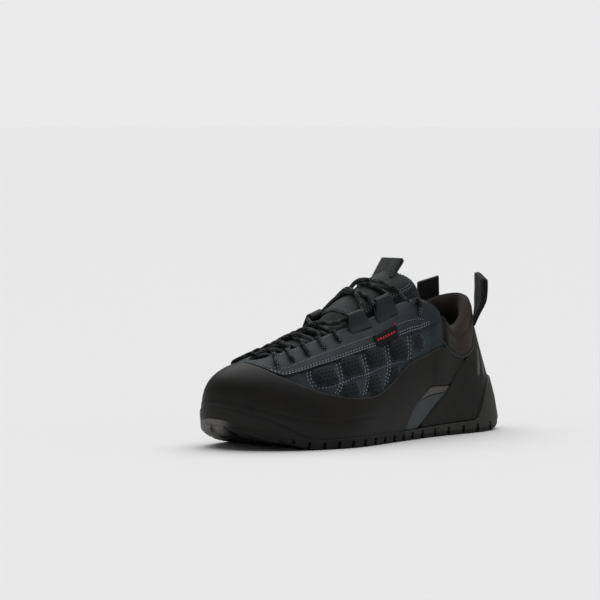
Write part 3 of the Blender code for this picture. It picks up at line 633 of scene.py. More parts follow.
@dataclass(frozen=True)
class CoatedLeather(Finish):
    """Microfibre with a rolled coating: a fine pebble grain and a low even gloss.

    Attributes:
        grain_mm: Width of one pebble.
        slow_mm: Distance over which the colour drifts.
    """

    grain_mm: float = 0.8
    slow_mm: float = 50 / 3

    def pattern(self, tree: bpy.types.NodeTree, shader: bpy.types.Node) -> None:
        """Pebble grain from cells, and slow changes of colour.

        Args:
            tree: The material's node tree.
            shader: Its surface shader.
        """
        place = add(tree, "TexCoord", {}).outputs["Object"]
        slow = add(tree, "TexNoise", {"Scale": scale(self.slow_mm), "Detail": 3.0}, {"Vector": place})
        add(tree, "ValToRGB", {"stops": [(0.3, self.shade), (0.7, self.colour)]}, {0: slow},
            shader.inputs["Base Color"])
        cells = add(tree, "TexVoronoi", {"Scale": scale(self.grain_mm)}, {"Vector": place})
        add(tree, "Bump", {"Strength": 0.22, "Distance": 0.3 * MM, "invert": True},
            {"Height": cells.outputs["Distance"]}, shader.inputs["Normal"])


@dataclass(frozen=True)
class KnitMesh(Finish):
    """Spacer mesh, knitted: round openings in offset rows over a dark backing.

    Attributes:
        pitch_mm: Distance between openings; it is drawn a little coarse so that it shows.
        hole: Dark sRGB hex colour in the openings.
        fuzz: sRGB hex colour of the loose fibres.
    """

    pitch_mm: float = 1.6
    hole: str = "#120f0e"
    fuzz: str = "#8d8480"

    def pattern(self, tree: bpy.types.NodeTree, shader: bpy.types.Node) -> None:
        """Openings from two crossed waves on the cloth's own map, and a soft fuzz.

        Args:
            tree: The material's node tree.
            shader: Its surface shader.
        """
        skin = shader.inputs
        place = add(tree, "UVMap", {"uv_map": "cloth"})
        diagonal = {"Rotation": (0, 0, math.radians(45)), "Scale": (1.41, 1.41, 1.0)}
        parts = add(tree, "SeparateXYZ", {}, {0: add(tree, "Mapping", diagonal, {"Vector": place})})
        waves = []
        for axis in parts.outputs[:2]:
            turn = {"operation": "MULTIPLY", 1: math.pi / self.pitch_mm * MAP_MM / 1.41}
            sine = add(tree, "Math", {"operation": "SINE"}, {0: add(tree, "Math", turn, {0: axis})})
            waves.append(add(tree, "Math", {"operation": "ABSOLUTE"}, {0: sine}))
        product = add(tree, "Math", {"operation": "MULTIPLY"}, {0: waves[0], 1: waves[1]})
        add(tree, "ValToRGB", {"stops": [(0.0, self.colour), (0.45, self.shade), (0.8, self.hole)]},
            {0: product}, skin["Base Color"])
        add(tree, "Bump", {"Strength": 0.35, "Distance": 0.4 * MM, "invert": True}, {"Height": product},
            skin["Normal"])
        skin["Sheen Weight"].default_value = 0.25
        skin["Sheen Tint"].default_value = linear(self.fuzz)


@dataclass(frozen=True)
class Webbing(Finish):
    """Polyester webbing, woven in a herringbone: slanting ribs that turn at each band.

    Attributes:
        rib_mm: Distance between ribs.
        band_mm: Width of one band of the herringbone.
    """

    rib_mm: float = 1.3
    band_mm: float = 4.2

    def pattern(self, tree: bpy.types.NodeTree, shader: bpy.types.Node) -> None:
        """Ribs whose slant turns from band to band.

        Args:
            tree: The material's node tree.
            shader: Its surface shader.
        """
        skin = shader.inputs
        parts = add(tree, "SeparateXYZ", {}, {0: add(tree, "UVMap", {"uv_map": "cloth"})})
        zig = add(tree, "Math", {"operation": "PINGPONG", 1: self.band_mm / MAP_MM}, {0: parts.outputs[1]})
        slant = add(tree, "Math", {"operation": "ADD"}, {0: parts, 1: zig})
        turn = {"operation": "MULTIPLY", 1: 2 * math.pi / self.rib_mm * MAP_MM}
        sine = add(tree, "Math", {"operation": "SINE"}, {0: add(tree, "Math", turn, {0: slant})})
        level = add(tree, "MapRange", {1: -1.0, 2: 1.0}, {0: sine})
        add(tree, "ValToRGB", {"stops": [(0.1, self.shade), (0.8, self.colour)]}, {0: level},
            skin["Base Color"])
        add(tree, "Bump", {"Strength": 0.55, "Distance": 0.4 * MM}, {"Height": level}, skin["Normal"])
        skin["Sheen Weight"].default_value = 0.15


@dataclass(frozen=True)
class Braid(Finish):
    """Braided cord: crossing yarns with a pale fleck where a light yarn comes up.

    Attributes:
        fleck: sRGB hex colour of the light yarn.
        yarn_mm: Distance between yarns along the cord.
        turns: Yarns round the cord.
        patch_mm: Length of cord over which the light yarn stays up or down.
    """

    fleck: str = "#84888b"
    yarn_mm: float = 2.4
    turns: int = 4
    patch_mm: float = 100 / 17

    def pattern(self, tree: bpy.types.NodeTree, shader: bpy.types.Node) -> None:
        """Two slanting waves that cross, and flecks on one of them.

        Args:
            tree: The material's node tree.
            shader: Its surface shader.
        """
        skin = shader.inputs
        parts = add(tree, "SeparateXYZ", {}, {0: add(tree, "UVMap", {"uv_map": "cloth"})})
        along_cord, round_cord = (
            add(tree, "Math", {"operation": "MULTIPLY", 1: rate}, {0: socket})
            for rate, socket in ((2 * math.pi / self.yarn_mm * MAP_MM, parts.outputs[0]),
                                 (2 * math.pi * self.turns, parts.outputs[1]))
        )
        waves = []
        for operation in ("ADD", "SUBTRACT"):
            mixed = add(tree, "Math", {"operation": operation}, {0: along_cord, 1: round_cord})
            waves.append(add(tree, "Math", {"operation": "SINE"}, {0: mixed}))
        crossed = {0: waves[0], 1: waves[1]}
        height = add(tree, "Math", {"operation": "MAXIMUM"}, crossed)
        level = add(tree, "MapRange", {1: -1.0, 2: 1.0}, {0: height})
        body = add(tree, "ValToRGB", {"stops": [(0.35, self.shade), (0.95, self.colour)]}, {0: level})
        speck = add(tree, "Math", {"operation": "MULTIPLY"}, crossed)
        mask = add(tree, "MapRange", {1: 0.35, 2: 0.65}, {0: speck})
        where = add(tree, "TexCoord", {}).outputs["Object"]
        patchy = add(tree, "TexNoise", {"Scale": scale(self.patch_mm), "Detail": 1.0}, {"Vector": where})
        chosen = add(tree, "MapRange", {1: 0.44, 2: 0.52}, {0: patchy})
        share = add(tree, "Math", {"operation": "MULTIPLY"}, {0: mask, 1: chosen})
        add(tree, "MixRGB", {2: linear(self.fleck)}, {0: share, 1: body}, skin["Base Color"])
        add(tree, "Bump", {"Strength": 0.5, "Distance": 0.4 * MM}, {"Height": level}, skin["Normal"])


@dataclass(frozen=True)
class PlainWeave(Finish):
    """Plain woven or brushed cloth: a fine crossed weave, nearly even in colour.

    Attributes:
        thread_mm: Distance between threads; it is drawn a little coarse so that it shows.
    """

    thread_mm: float = 0.9

    def pattern(self, tree: bpy.types.NodeTree, shader: bpy.types.Node) -> None:
        """Noise over the cloth's fibres, and a bump from it.

        Args:
            tree: The material's node tree.
            shader: Its surface shader.
        """
        place = add(tree, "TexCoord", {}).outputs["Object"]
        fibres = add(tree, "TexNoise", {"Scale": scale(self.thread_mm), "Detail": 3.0}, {"Vector": place})
        add(tree, "ValToRGB", {"stops": [(0.35, self.shade), (0.65, self.colour)]}, {0: fibres},
            shader.inputs["Base Color"])
        add(tree, "Bump", {"Strength": 0.35, "Distance": 0.4 * MM}, {"Height": fibres},
            shader.inputs["Normal"])


@dataclass(frozen=True)
class MouldedFoam(Finish):
    """EVA foam, compression moulded: a matte skin with slight orange peel.

    Attributes:
        peel_mm: Width of the orange peel.
        cloud_mm: Size of the clouding.
    """

    peel_mm: float = 1.4
    cloud_mm: float = 100 / 7

    def pattern(self, tree: bpy.types.NodeTree, shader: bpy.types.Node) -> None:
        """Slow clouding, with the peel as bump.

        Args:
            tree: The material's node tree.
            shader: Its surface shader.
        """
        place = add(tree, "TexCoord", {}).outputs["Object"]
        cloud = add(tree, "TexNoise", {"Scale": scale(self.cloud_mm), "Detail": 3.0}, {"Vector": place})
        add(tree, "ValToRGB", {"stops": [(0.3, self.shade), (0.7, self.colour)]}, {0: cloud},
            shader.inputs["Base Color"])
        peel = add(tree, "TexNoise", {"Scale": scale(self.peel_mm)}, {"Vector": place})
        add(tree, "Bump", {"Strength": 0.12, "Distance": 0.4 * MM}, {"Height": peel},
            shader.inputs["Normal"])


# Climbing rubber is buffed after moulding: a deep black with a low, soft gloss and faint clouding.
RAND_RUBBER = MouldedRubber("rand rubber, moulded and buffed", "#1c1a18", "#161413", 0.5)
COUNTER_RUBBER = MouldedRubber("heel counter rubber, moulded", "#1d1b19", "#171514", 0.56)
# Sole rubber is left as it leaves the mould: matte and slightly porous, and greyer in the heel plate.
# Over the lip under the toe the sole rubber carries a painted highlight.
SOLE_RUBBER = SoleRubber("sole rubber, moulded", "#1b1918", "#151413", 0.62, pore_depth=0.12)
PLATE_RUBBER = MouldedRubber("heel plate rubber, moulded", "#393a37", "#2f2f2d", 0.62, pore_depth=0.1)
# Foam pressed in a hot mould takes a dull skin with soft dimples, which hardly shines at all.
BAND_WARM = MouldedFoam("arch band foam, moulded, warm grey", "#5d5b57", "#524f4c", 0.6)
BAND_COOL = MouldedFoam("arch band foam, moulded, cool grey", "#4a4e51", "#414548", 0.58)
MIDSOLE_FOAM = MouldedFoam("midsole foam, moulded", "#2d3032", "#27292b", 0.7)
# Brushing raises the nap, so the suede scatters light softly; over the pods it is pressed smoother and
# painted darker, as painted shade.
QUARTER_SUEDE = Suede("upper suede, brushed", "#31383b", "#202628", 0.92)
SHADED_POD_SUEDE = Suede("padded pod suede, pressed smooth, painted shade", "#1d2225", "#121517", 0.9, nap_mm=0.6, sheen=0.2)
# The rolled coating is smooth between fine pebbles, and gives an even gloss along every bend.
LACING_LEATHER = CoatedLeather("lacing strip microfibre, coated", "#2c3336", "#242a2d", 0.6)
LOOP_LEATHER = CoatedLeather("lace loop microfibre, coated", "#2a2c2e", "#212325", 0.55)
PANEL_LEATHER = CoatedLeather("tongue pad microfibre, coated", "#2c3031", "#242829", 0.6)
# The knit shows rows of dark openings between dull yarns, with a faint bloom at grazing angles.
COLLAR_MESH = KnitMesh("collar mesh, knitted", "#393432", "#312d2b", 0.95, hole="#211d1c")
TONGUE_MESH = KnitMesh("tongue mesh, knitted", "#3f4243", "#313435", 0.95, pitch_mm=1.5, hole="#1e2021")
# Brushed and needled cloths are flat and dark, with no weave left to see.
LINING_CLOTH = PlainWeave("lining cloth, brushed", "#1c1918", "#131110", 0.95)
FOOTBED_CLOTH = PlainWeave("footbed cloth, needled", "#242526", "#1a1b1c", 0.95)
# The herringbone shows as slanting ribs that turn from band to band, each with a dull highlight.
LOOP_WEBBING = Webbing("pull loop webbing, woven", "#1c1c1e", "#131314", 0.85)
TAB_WEBBING = Webbing("tongue tab webbing, woven", "#3c3e3e", "#2a2b2b", 0.85)
# The braid is black, with pale flecks in the stretches where its light yarn comes up.
LACE_BRAID = Braid("lace cord, braided", "#181919", "#0a0a0b", 0.75)
# Twisted thread stands up from the cloth, and shows as short pale dashes.
PALE_THREAD = PlainWeave("sewing thread, twisted, pale grey", "#8b9397", "#737b7f", 0.6)
DARK_THREAD = PlainWeave("sewing thread, twisted, dark grey", "#4c5255", "#3d4346", 0.65)
# A close flat weave: a dull black ground, and a yarn that keeps its strong red.
LABEL_CLOTH = PlainWeave("label cloth, woven", "#101011", "#0a0a0b", 0.85)
LABEL_RED = PlainWeave("label yarn, woven, red", "#c8303c", "#9c222c", 0.7)
# A near-black painted shade fills each punched hole, so a hole reads as a hole.
HOLE_SHADE = PlainWeave("punched hole, painted shade", "#08090a", "#050606", 0.95)
# The printed film is even and a little smoother than the rubber under it.
GREY_PRINT = MouldedFoam("counter bar, printed grey", "#5d5c59", "#504f4c", 0.55)


@dataclass
class Build:
    """Collects the points and faces of one piece, then makes its mesh object.

    Attributes:
        name: The piece's name.
        finishes: The finishes that its faces use, by number.
        points: Points in millimetres, in batches.
        faces: Rows of point numbers, in batches of one size.
        maps: Places of the faces' corners on the cloth, in millimetres.
        worn: Finish numbers of the faces.
        count: Number of points so far.
    """

    name: str
    finishes: Sequence[Finish]
    points: list[np.ndarray] = field(default_factory=list)
    faces: list[np.ndarray] = field(default_factory=list)
    maps: list[np.ndarray] = field(default_factory=list)
    worn: list[np.ndarray] = field(default_factory=list)
    count: int = 0

    def add(self, points: np.ndarray, faces: np.ndarray, uv: np.ndarray | None = None,
            slot: int | np.ndarray = 0) -> int:
        """Adds points and faces of one size.

        Args:
            points: Points in millimetres.
            faces: Rows of point numbers, counted from the first of these points.
            uv: A pair for each corner of each face, in millimetres.
            slot: The finish's number, for all faces or for each.

        Returns:
            The number of the first point.
        """
        points = np.asarray(points, float).reshape(-1, 3)
        faces = np.asarray(faces, int)
        first = self.count
        self.points.append(points)
        self.faces.append(faces + first)
        self.maps.append(np.zeros((*faces.shape, 2)) if uv is None else uv)
        self.worn.append(np.broadcast_to(slot, len(faces)))
        self.count += len(points)
        return first

    def ring_loft(self, rings: Grid, closed: bool = False, slot: int | np.ndarray = 0) -> None:
        """Adds a skin through closed sections, with its ends filled unless it runs all round.

        Args:
            rings: Points as (sections, points of a section, 3).
            closed: Whether the last section joins the first.
            slot: Finish number, for all faces or for each point of a section.
        """
        rings = np.asarray(rings, float)
        wide, high = rings.shape[:2]
        far = rings if not closed else np.concatenate([rings, rings[:1]])
        run = np.linalg.norm(np.diff(far, axis=0), axis=2).mean(axis=1)
        run = np.concatenate([[0], np.cumsum(run)])
        loop = np.concatenate([rings, rings[:, :1]], axis=1)
        rise = np.linalg.norm(np.diff(loop, axis=1), axis=2).mean(axis=0)
        rise = np.concatenate([[0], np.cumsum(rise)])
        cells = wide if closed else wide - 1
        i, k = np.meshgrid(np.arange(cells), np.arange(high), indexing="ij")
        j, m = (i + 1) % wide, (k + 1) % high
        faces = np.stack([i * high + k, j * high + k, j * high + m, i * high + m], -1)
        uv = np.stack([
            np.stack([run[i], rise[k]], -1), np.stack([run[i + 1], rise[k]], -1),
            np.stack([run[i + 1], rise[k + 1]], -1), np.stack([run[i], rise[k + 1]], -1),
        ], -2)
        worn = np.broadcast_to(slot, (cells, high)) if np.ndim(slot) else slot
        first = self.add(rings, faces.reshape(-1, 4), uv.reshape(-1, 4, 2),
                         worn.reshape(-1) if np.ndim(slot) else slot)
        if not closed:
            for row in (0, wide - 1):
                self.fill(first + row * high + np.arange(high), slot if np.ndim(slot) == 0 else 0)

    def fill(self, ring: np.ndarray, slot: int = 0) -> None:
        """Closes a ring of points with a strip of faces from side to side.

        Args:
            ring: Numbers of the ring's points, in order.
            slot: Finish number.
        """
        count = len(ring)
        quads = []
        low, high = 0, count - 1
        while high - low >= 3:
            quads.append([ring[low], ring[low + 1], ring[high - 1], ring[high]])
            low, high = low + 1, high - 1
        self.join(np.array(quads, int).reshape(-1, 4), slot)
        if high - low == 2:
            self.join([[ring[low], ring[low + 1], ring[high]]], slot)

    def join(self, faces: np.ndarray, slot: int = 0) -> None:
        """Adds faces of one size, without a map, between points that are there already.

        Args:
            faces: Rows of point numbers.
            slot: Finish number.
        """
        faces = np.asarray(faces, int)
        self.faces.append(faces)
        self.maps.append(np.zeros((*faces.shape, 2)))
        self.worn.append(np.broadcast_to(slot, len(faces)))

    def object(self, sharp: float = 50.0) -> bpy.types.Object:
        """Makes the mesh object, turned outwards and shaded smooth.

        Args:
            sharp: Edges that turn more than this many degrees stay sharp.

        Returns:
            The object, in the scene's collection.
        """
        points = (np.concatenate(self.points) - ORIGIN) * MM
        mesh = bpy.data.meshes.new(self.name)
        sizes = np.concatenate([np.full(len(f), f.shape[1]) for f in self.faces])
        corners = np.concatenate([f.reshape(-1) for f in self.faces])
        mesh.vertices.add(len(points))
        mesh.vertices.foreach_set("co", points.reshape(-1))
        mesh.loops.add(len(corners))
        mesh.loops.foreach_set("vertex_index", corners)
        mesh.polygons.add(len(sizes))
        mesh.polygons.foreach_set("loop_start", np.concatenate([[0], np.cumsum(sizes)[:-1]]))
        mesh.polygons.foreach_set("material_index", np.concatenate(self.worn))
        layer = mesh.uv_layers.new(name="cloth")
        flat = np.concatenate([m.reshape(-1, 2) for m in self.maps]) / MAP_MM
        layer.uv.foreach_set("vector", flat.astype(np.float32).reshape(-1))
        mesh.update(calc_edges=True)
        turned = bmesh.new()
        turned.from_mesh(mesh)
        bmesh.ops.recalc_face_normals(turned, faces=turned.faces)
        turned.to_mesh(mesh)
        turned.free()
        mesh.validate()
        for finish in self.finishes:
            mesh.materials.append(finish.material())
        mesh.shade_smooth()
        mesh.set_sharp_from_angle(angle=math.radians(sharp))
        made = bpy.data.objects.new(self.name, mesh)
        bpy.context.scene.collection.objects.link(made)
        return made


def place(piece: bpy.types.Object, slot: str, *nodes: str) -> bpy.types.Object:
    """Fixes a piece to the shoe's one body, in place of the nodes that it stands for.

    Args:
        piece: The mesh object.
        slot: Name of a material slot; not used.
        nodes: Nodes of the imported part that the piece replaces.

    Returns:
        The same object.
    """
    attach(piece, "root")
    if nodes:
        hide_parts(*nodes)
    faces = sum(len(p.vertices) - 2 for p in piece.data.polygons)
    LOG.info("%s: %d triangles, stands for %s", piece.name, faces, ", ".join(nodes) or "nothing")
    return piece


def level(h: float) -> Line:
    """A line that keeps one height all the way."""
    return lambda u: h + 0 * u


@dataclass
class Overlay:
    """A sheet laid on the form between two lines, with rounded edges.

    Attributes:
        low: Lower line, as a function of u.
        high: Upper line.
        inside: Distance of its back from the form.
        outside: Distance of its face from the form.
        edge: Radius of its rounded edges.
        step: Size of its cells in millimetres.
        relief: Extra height of the face at (u, h), in millimetres.
    """

    low: Line
    high: Line
    inside: float
    outside: float
    edge: float = 0.8
    step: float = 2.2
    relief: Callable[[np.ndarray, np.ndarray, np.ndarray], np.ndarray] | None = None

    def rings(self, u: np.ndarray, rows: int) -> Grid:
        """Closed sections at the stations u.

        Args:
            u: Stations.
            rows: Cells between the two rounded edges.

        Returns:
            Points as (stations, points of a section, 3).
        """
        low, high = self.low(u), self.high(u)
        length = np.maximum(FORM.heights(u, low, high), 0.2)
        radius = np.minimum(self.edge, length / 3)
        share = np.array([0.0, 0.08, 0.3, 0.62, 1.0])
        rounded = share[None, :] * radius[:, None]
        inner = np.linspace(0, 1, rows + 1)[None, 1:-1]
        inner = radius[:, None] + inner * (length - 2 * radius)[:, None]
        far = np.concatenate([rounded, inner, (length[:, None] - rounded)[:, ::-1]], axis=1)
        h = low[:, None] + (high - low)[:, None] * far / length[:, None]
        run = run_along(FORM.surface(u, (low + high) / 2))
        ends = np.minimum(run, run[-1] - run)[:, None]
        near = np.minimum(np.minimum(far, length[:, None] - far), ends)
        inside = np.clip(radius[:, None] - near, 0, None)
        out = self.outside - (radius[:, None] - np.sqrt(np.maximum(radius[:, None] ** 2 - inside**2, 0)))
        around = u[:, None] + 0 * h
        if self.relief is not None:
            base = FORM.surface(around, h)
            out = out + self.relief(around, h, base) * smooth(near / 2.0)
        face = FORM.at(around, h, out)
        back_rows = np.linspace(1, 0, 5)[None, :]
        back_h = low[:, None] + (high - low)[:, None] * back_rows
        back = FORM.at(u[:, None] + 0 * back_h, back_h, self.inside)
        return np.concatenate([face, back], axis=1)

    def spread(self, start: float, end: float) -> np.ndarray:
        """Stations for a sheet with two ends, close together at its rounded ends.

        Args:
            start: First station.
            end: Last station.

        Returns:
            The stations, in order.
        """
        u = FORM.stations(start, end, float(self.low(np.array([(start + end) / 2]))[0]), self.step)
        share = np.array([0.08, 0.3, 0.62, 1.0])
        tail = share * self.edge * ((u[1] - u[0]) / self.step)
        front = share[::-1] * self.edge * ((u[-1] - u[-2]) / self.step)
        inside = u[(u > start + tail[-1] * 1.3) & (u < end - front[0] * 1.3)]
        return np.concatenate([[start], start + tail, inside, end - front, [end]])


def distance_to(path: np.ndarray, points: np.ndarray) -> np.ndarray:
    """Smallest distance from each point to the points of a path.

    Args:
        path: Points of the path.
        points: Points to measure, of any leading shape.

    Returns:
        Distances in the points' leading shape.
    """
    flat = points.reshape(-1, 3)
    best = np.full(len(flat), 1e9)
    for p in path:
        best = np.minimum(best, ((flat - p) ** 2).sum(axis=1))
    return np.sqrt(best).reshape(points.shape[:-1])


def catmull(knots: np.ndarray, parts: int) -> np.ndarray:
    """Smooth curve through knots.

    Args:
        knots: Points in order.
        parts: Pieces between each pair.

    Returns:
        Points on the curve.
    """
    knots = np.asarray(knots, float)
    padded = np.concatenate([[2 * knots[0] - knots[1]], knots, [2 * knots[-1] - knots[-2]]])
    gaps = len(knots) - 1
    share = np.arange(gaps * parts + 1) / parts
    k = np.minimum(share.astype(int), gaps - 1)
    t = (share - k).reshape(-1, *([1] * (knots.ndim - 1)))
    p, q, r, w = padded[k], padded[k + 1], padded[k + 2], padded[k + 3]
    return 0.5 * (2 * q + (r - p) * t + (2 * p - 5 * q + 4 * r - w) * t**2
                  + (3 * q - p - 3 * r + w) * t**3)


def read(places: np.ndarray, run: np.ndarray, rows: np.ndarray) -> np.ndarray:
    """Rows of three numbers that stand at the lengths in run, read at other lengths."""
    return np.stack([np.interp(places, run, rows[:, k]) for k in range(3)], -1)


def resampled(path: np.ndarray, step: float) -> np.ndarray:
    """The path at even steps in millimetres.

    Args:
        path: Points in order.
        step: Distance between the new ones.

    Returns:
        Points on the path, with its two ends.
    """
    run = run_along(path)
    return read(np.linspace(0, run[-1], max(3, int(round(run[-1] / step)) + 1)), run, path)


def unit(vector: np.ndarray) -> np.ndarray:
    """The vectors at length one."""
    vector = np.asarray(vector, float)
    return vector / np.maximum(np.linalg.norm(vector, axis=-1, keepdims=True), 1e-9)


def transported(path: np.ndarray) -> tuple[np.ndarray, np.ndarray]:
    """Two directions across a path that turn as little as they can along it.

    Args:
        path: Points in order.

    Returns:
        The two directions at each point.
    """
    way = unit(np.gradient(path, axis=0))
    side = unit(np.cross(way[0], UP if abs(way[0][2]) < 0.9 else np.array([1.0, 0, 0])))
    sides = []
    for w in way:
        side = unit(side - w * (side @ w))
        sides.append(side)
    sides = np.array(sides)
    return sides, np.cross(sides, way)


class Stitch(NamedTuple):
    """Sizes of one stitch: its length, the distance to the next and its half thickness."""

    length: float
    pitch: float
    radius: float


SEAM_STITCH = Stitch(1.6, 2.8, 0.38)
FINE_STITCH = Stitch(1.3, 2.5, 0.31)


def sew(build: Build, path: np.ndarray, normals: np.ndarray, stitch: Stitch) -> None:
    """Adds stitches along a path, as one joined array.

    Args:
        build: The piece that takes them.
        path: Points along the seam.
        normals: Direction out of the cloth at each point.
        stitch: The stitch's sizes.
    """
    run = run_along(path)
    count = int(run[-1] / stitch.pitch)
    if count < 1:
        return
    middles = (np.arange(count) + 0.5) * run[-1] / count
    start, end = (read(places, run, path)
                  for places in (middles - stitch.length / 2, middles + stitch.length / 2))
    out = unit(read(middles, run, normals))
    way = unit(end - start)
    side = np.cross(out, way)
    sections = []
    for place_along, share in ((-1.0, 0.35), (-0.6, 0.95), (0.0, 1.1), (0.6, 0.95), (1.0, 0.35)):
        centre = (start + end) / 2 + way * (place_along * stitch.length / 2)
        for angle in np.radians([0, 60, 120, 180, 240, 300]):
            radius = stitch.radius * share
            sections.append(
                centre + side * (math.cos(angle) * radius) + out * (math.sin(angle) * radius * 0.8)
            )
    points = np.stack(sections, 1)
    sides = 6
    faces = [[k, n, n + sides, k + sides] for ring in range(0, 4 * sides, sides)
             for k, n in ((ring + j, ring + (j + 1) % sides) for j in range(sides))]
    for base in (0, 4 * sides):
        faces += [[base, base + 1, base + 2, base + 3], [base, base + 3, base + 4, base + 5]]
    every = (np.arange(count) * len(sections))[:, None, None] + np.array(faces)[None]
    build.add(points.reshape(-1, 3), every.reshape(-1, 4))


def form_path(places: Sequence[tuple[float, float]], side: Side, out: float,
              step: float = 1.0) -> tuple[np.ndarray, np.ndarray]:
    """A smooth line on the form and the directions out of it.

    Args:
        places: (u, h) places with u counted from the heel.
        side: Which side of the shoe.
        out: Distance from the form.
        step: Distance between points.

    Returns:
        Points and normals.
    """
    line = catmull(np.array(places, float), 12)
    u = np.array([side.u(v) for v in line[:, 0]])
    run = run_along(FORM.at(u, line[:, 1], out))
    fine = np.linspace(0, run[-1], max(3, int(run[-1] / step) + 1))
    u = np.interp(fine, run, u)
    h = np.interp(fine, run, line[:, 1])
    return FORM.at(u, h, out), FORM.normal(u, h)


@dataclass
class Pod:
    """One padded pod of the quilted side panel, at (u, h), with its half sizes in millimetres."""

    u: float
    h: float
    half_long: float = 11.2
    half_high: float = 9.8
    height: float = 3.5


@dataclass
class QuiltedUpper:
    """The hollow upper: brushed suede with padded pods, its lining, and the stitched net.

    Attributes:
        pods: The padded pods, which both sides share.
        nets: Lines of the stitched net, as (u, h) places.
        net_gap: Distance between the two rows of a net line, as a change of u.
        step: Size of a cell of the outer face.
        hole_pitch: Distance between perforations.
        hole_radius: Radius of one.
    """

    pods: Sequence[Pod] = (
        Pod(8.64, 0.580), Pod(7.65, 0.614), Pod(6.65, 0.622), Pod(5.72, 0.612),
        Pod(4.93, 0.62, 7.0, 7.5, 1.2),
        Pod(7.95, 0.440, 10.0, 6.8, 2.2), Pod(6.95, 0.435, 10.0, 7.6, 2.4), Pod(6.05, 0.475, 8.0, 5.5, 1.5),
    )
    nets: Sequence[Sequence[tuple[float, float]]] = (
        ((9.14, 0.690), (9.2, 0.60), (9.08, 0.51)),
        ((8.12, 0.690), (8.14, 0.6), (8.22, 0.50), (8.5, 0.41)),
        ((7.13, 0.692), (7.14, 0.6), (7.16, 0.51), (7.45, 0.36)),
        ((6.17, 0.693), (6.18, 0.6), (6.2, 0.53), (6.48, 0.38)),
        ((5.28, 0.690), (5.29, 0.6), (5.34, 0.51)),
        ((9.0, 0.505), (8.6, 0.495), (8.15, 0.510), (7.65, 0.528), (7.16, 0.523), (6.7, 0.537),
         (6.2, 0.541), (5.75, 0.525), (5.5, 0.51)),
    )
    net_gap: float = 0.055
    step: float = 1.15
    hole_pitch: float = 3.3
    hole_radius: float = 0.66

    def relief(self, u: np.ndarray, h: np.ndarray, base: np.ndarray) -> np.ndarray:
        """Height of the pods and depth of the quilting between them.

        Args:
            u: Stations.
            h: Heights.
            base: Points of the form there.

        Returns:
            Heights in millimetres.
        """
        total = np.zeros(u.shape)
        for side in Side:
            near = (u > 3.8) & (u < 11) if side is Side.OUTER else (u < ROUND - 3.8) & (u > 13)
            if not near.any():
                continue
            here = base[near]
            lift = np.zeros(len(here))
            for pod in self.pods:
                lift = np.maximum(lift, self.dome(pod, side, here))
            groove = np.zeros(len(here))
            for net in self.nets:
                path, _ = form_path(net, side, 0.0, 1.0)
                groove = np.maximum(groove, np.exp(-((distance_to(path, here) / 2.1) ** 2)))
            total[near] = lift * (1 - 0.85 * groove) - 0.6 * groove
        return total + self.creases(u, h, base)

    @staticmethod
    def dome(pod: Pod, side: Side, points: np.ndarray) -> np.ndarray:
        """Height of one pod's dome at points of the form.

        Args:
            pod: The pod.
            side: Which side of the shoe.
            points: Points of the form.

        Returns:
            Heights in millimetres.
        """
        u = np.array(side.u(pod.u))
        centre = FORM.surface(u, pod.h)
        long = unit(FORM.surface(u + 0.05, pod.h) - FORM.surface(u - 0.05, pod.h))
        high = unit(FORM.surface(u, pod.h + 0.01) - FORM.surface(u, pod.h - 0.01))
        high = unit(high - long * (high @ long))
        away = points - centre
        a = np.abs(away @ long) / pod.half_long
        b = np.abs(away @ high) / pod.half_high
        reach = (a**3.2 + b**3.2) ** (1 / 3.2)
        return pod.height * np.clip(1 - reach**2.6, 0, 1) ** 0.75

    @staticmethod
    def creases(u: np.ndarray, h: np.ndarray, base: np.ndarray) -> np.ndarray:
        """Soft troughs and ridges: the flex lines over the ball, and ribs by the collar.

        Args:
            u: Stations.
            h: Heights.
            base: Points of the form there.

        Returns:
            Heights in millimetres.
        """
        fold = np.zeros(u.shape)
        flex = folded(u)
        for centre, depth in ((9.45, 0.35), (9.85, 0.25)):
            fold -= depth * np.exp(-(((flex - centre) / 0.09) ** 2)) * smooth((h - 0.45) / 0.2)
        ribs = (flex > 3.98) & (flex < 4.75) & (h > 0.68) & (h < 0.9)
        wave = 0.45 * np.sin(2 * np.pi * (base[..., 2] + 0.4 * base[..., 0]) / 3.4)
        edge = smooth((flex - 3.98) / 0.1) * smooth((4.75 - flex) / 0.1)
        edge = edge * smooth((h - 0.68) / 0.03) * smooth((0.9 - h) / 0.03)
        return fold + np.where(ribs, wave * edge, 0.0)

    def build(self) -> None:
        """The upper's wall, with suede outside, a darker suede over the pods as painted shade, and lining
        inside.
        """
        around = FORM.stations(0.0, ROUND, 0.55, self.step)[:-1]
        top = along(UPPER_TOP, around)
        h_rows = np.concatenate([
            np.linspace(0, 0.24, 8, endpoint=False), np.linspace(0.24, 0.88, 62, endpoint=False),
            np.linspace(0.88, 1, 8),
        ])
        h = FEATHER_H + (top[:, None] - FEATHER_H) * h_rows[None, :]
        u = around[:, None] + 0 * h
        base = FORM.surface(u, h)
        covered = np.clip((h - along(RAND_TOP, u) + 0.02) / 0.02, 0, 1)
        out = self.relief(u, h, base) * np.where(folded(u) > 3.86, covered, 0.0)
        outer = FORM.at(u, h, out)
        # Faces raised on the pods take the darker suede, which is painted shade.
        pods = (out > 0.8) & (folded(u) > 4.4)
        inner_rows = np.linspace(1, 0, 16)[None, :]
        inner_h = FEATHER_H + (top[:, None] - FEATHER_H) * inner_rows
        inner = FORM.at(around[:, None] + 0 * inner_h, inner_h, -WALL)
        rings = np.concatenate([outer, inner], axis=1)
        worn = np.concatenate([np.where(pods, 2, 0), np.ones((len(around), 16), int)], axis=1)
        build = Build("upper_suede", [QUARTER_SUEDE, LINING_CLOTH, SHADED_POD_SUEDE])
        build.ring_loft(rings, closed=True, slot=worn)
        place(build.object(), "suede", "upper")

    def holes(self) -> None:
        """The pods' perforations: small punched cups in staggered rows, floored with painted shade."""
        build = Build("pod_perforations", [HOLE_SHADE])
        for side in Side:
            for pod in self.pods:
                self.punch(build, pod, side)
        place(build.object(), "suede")

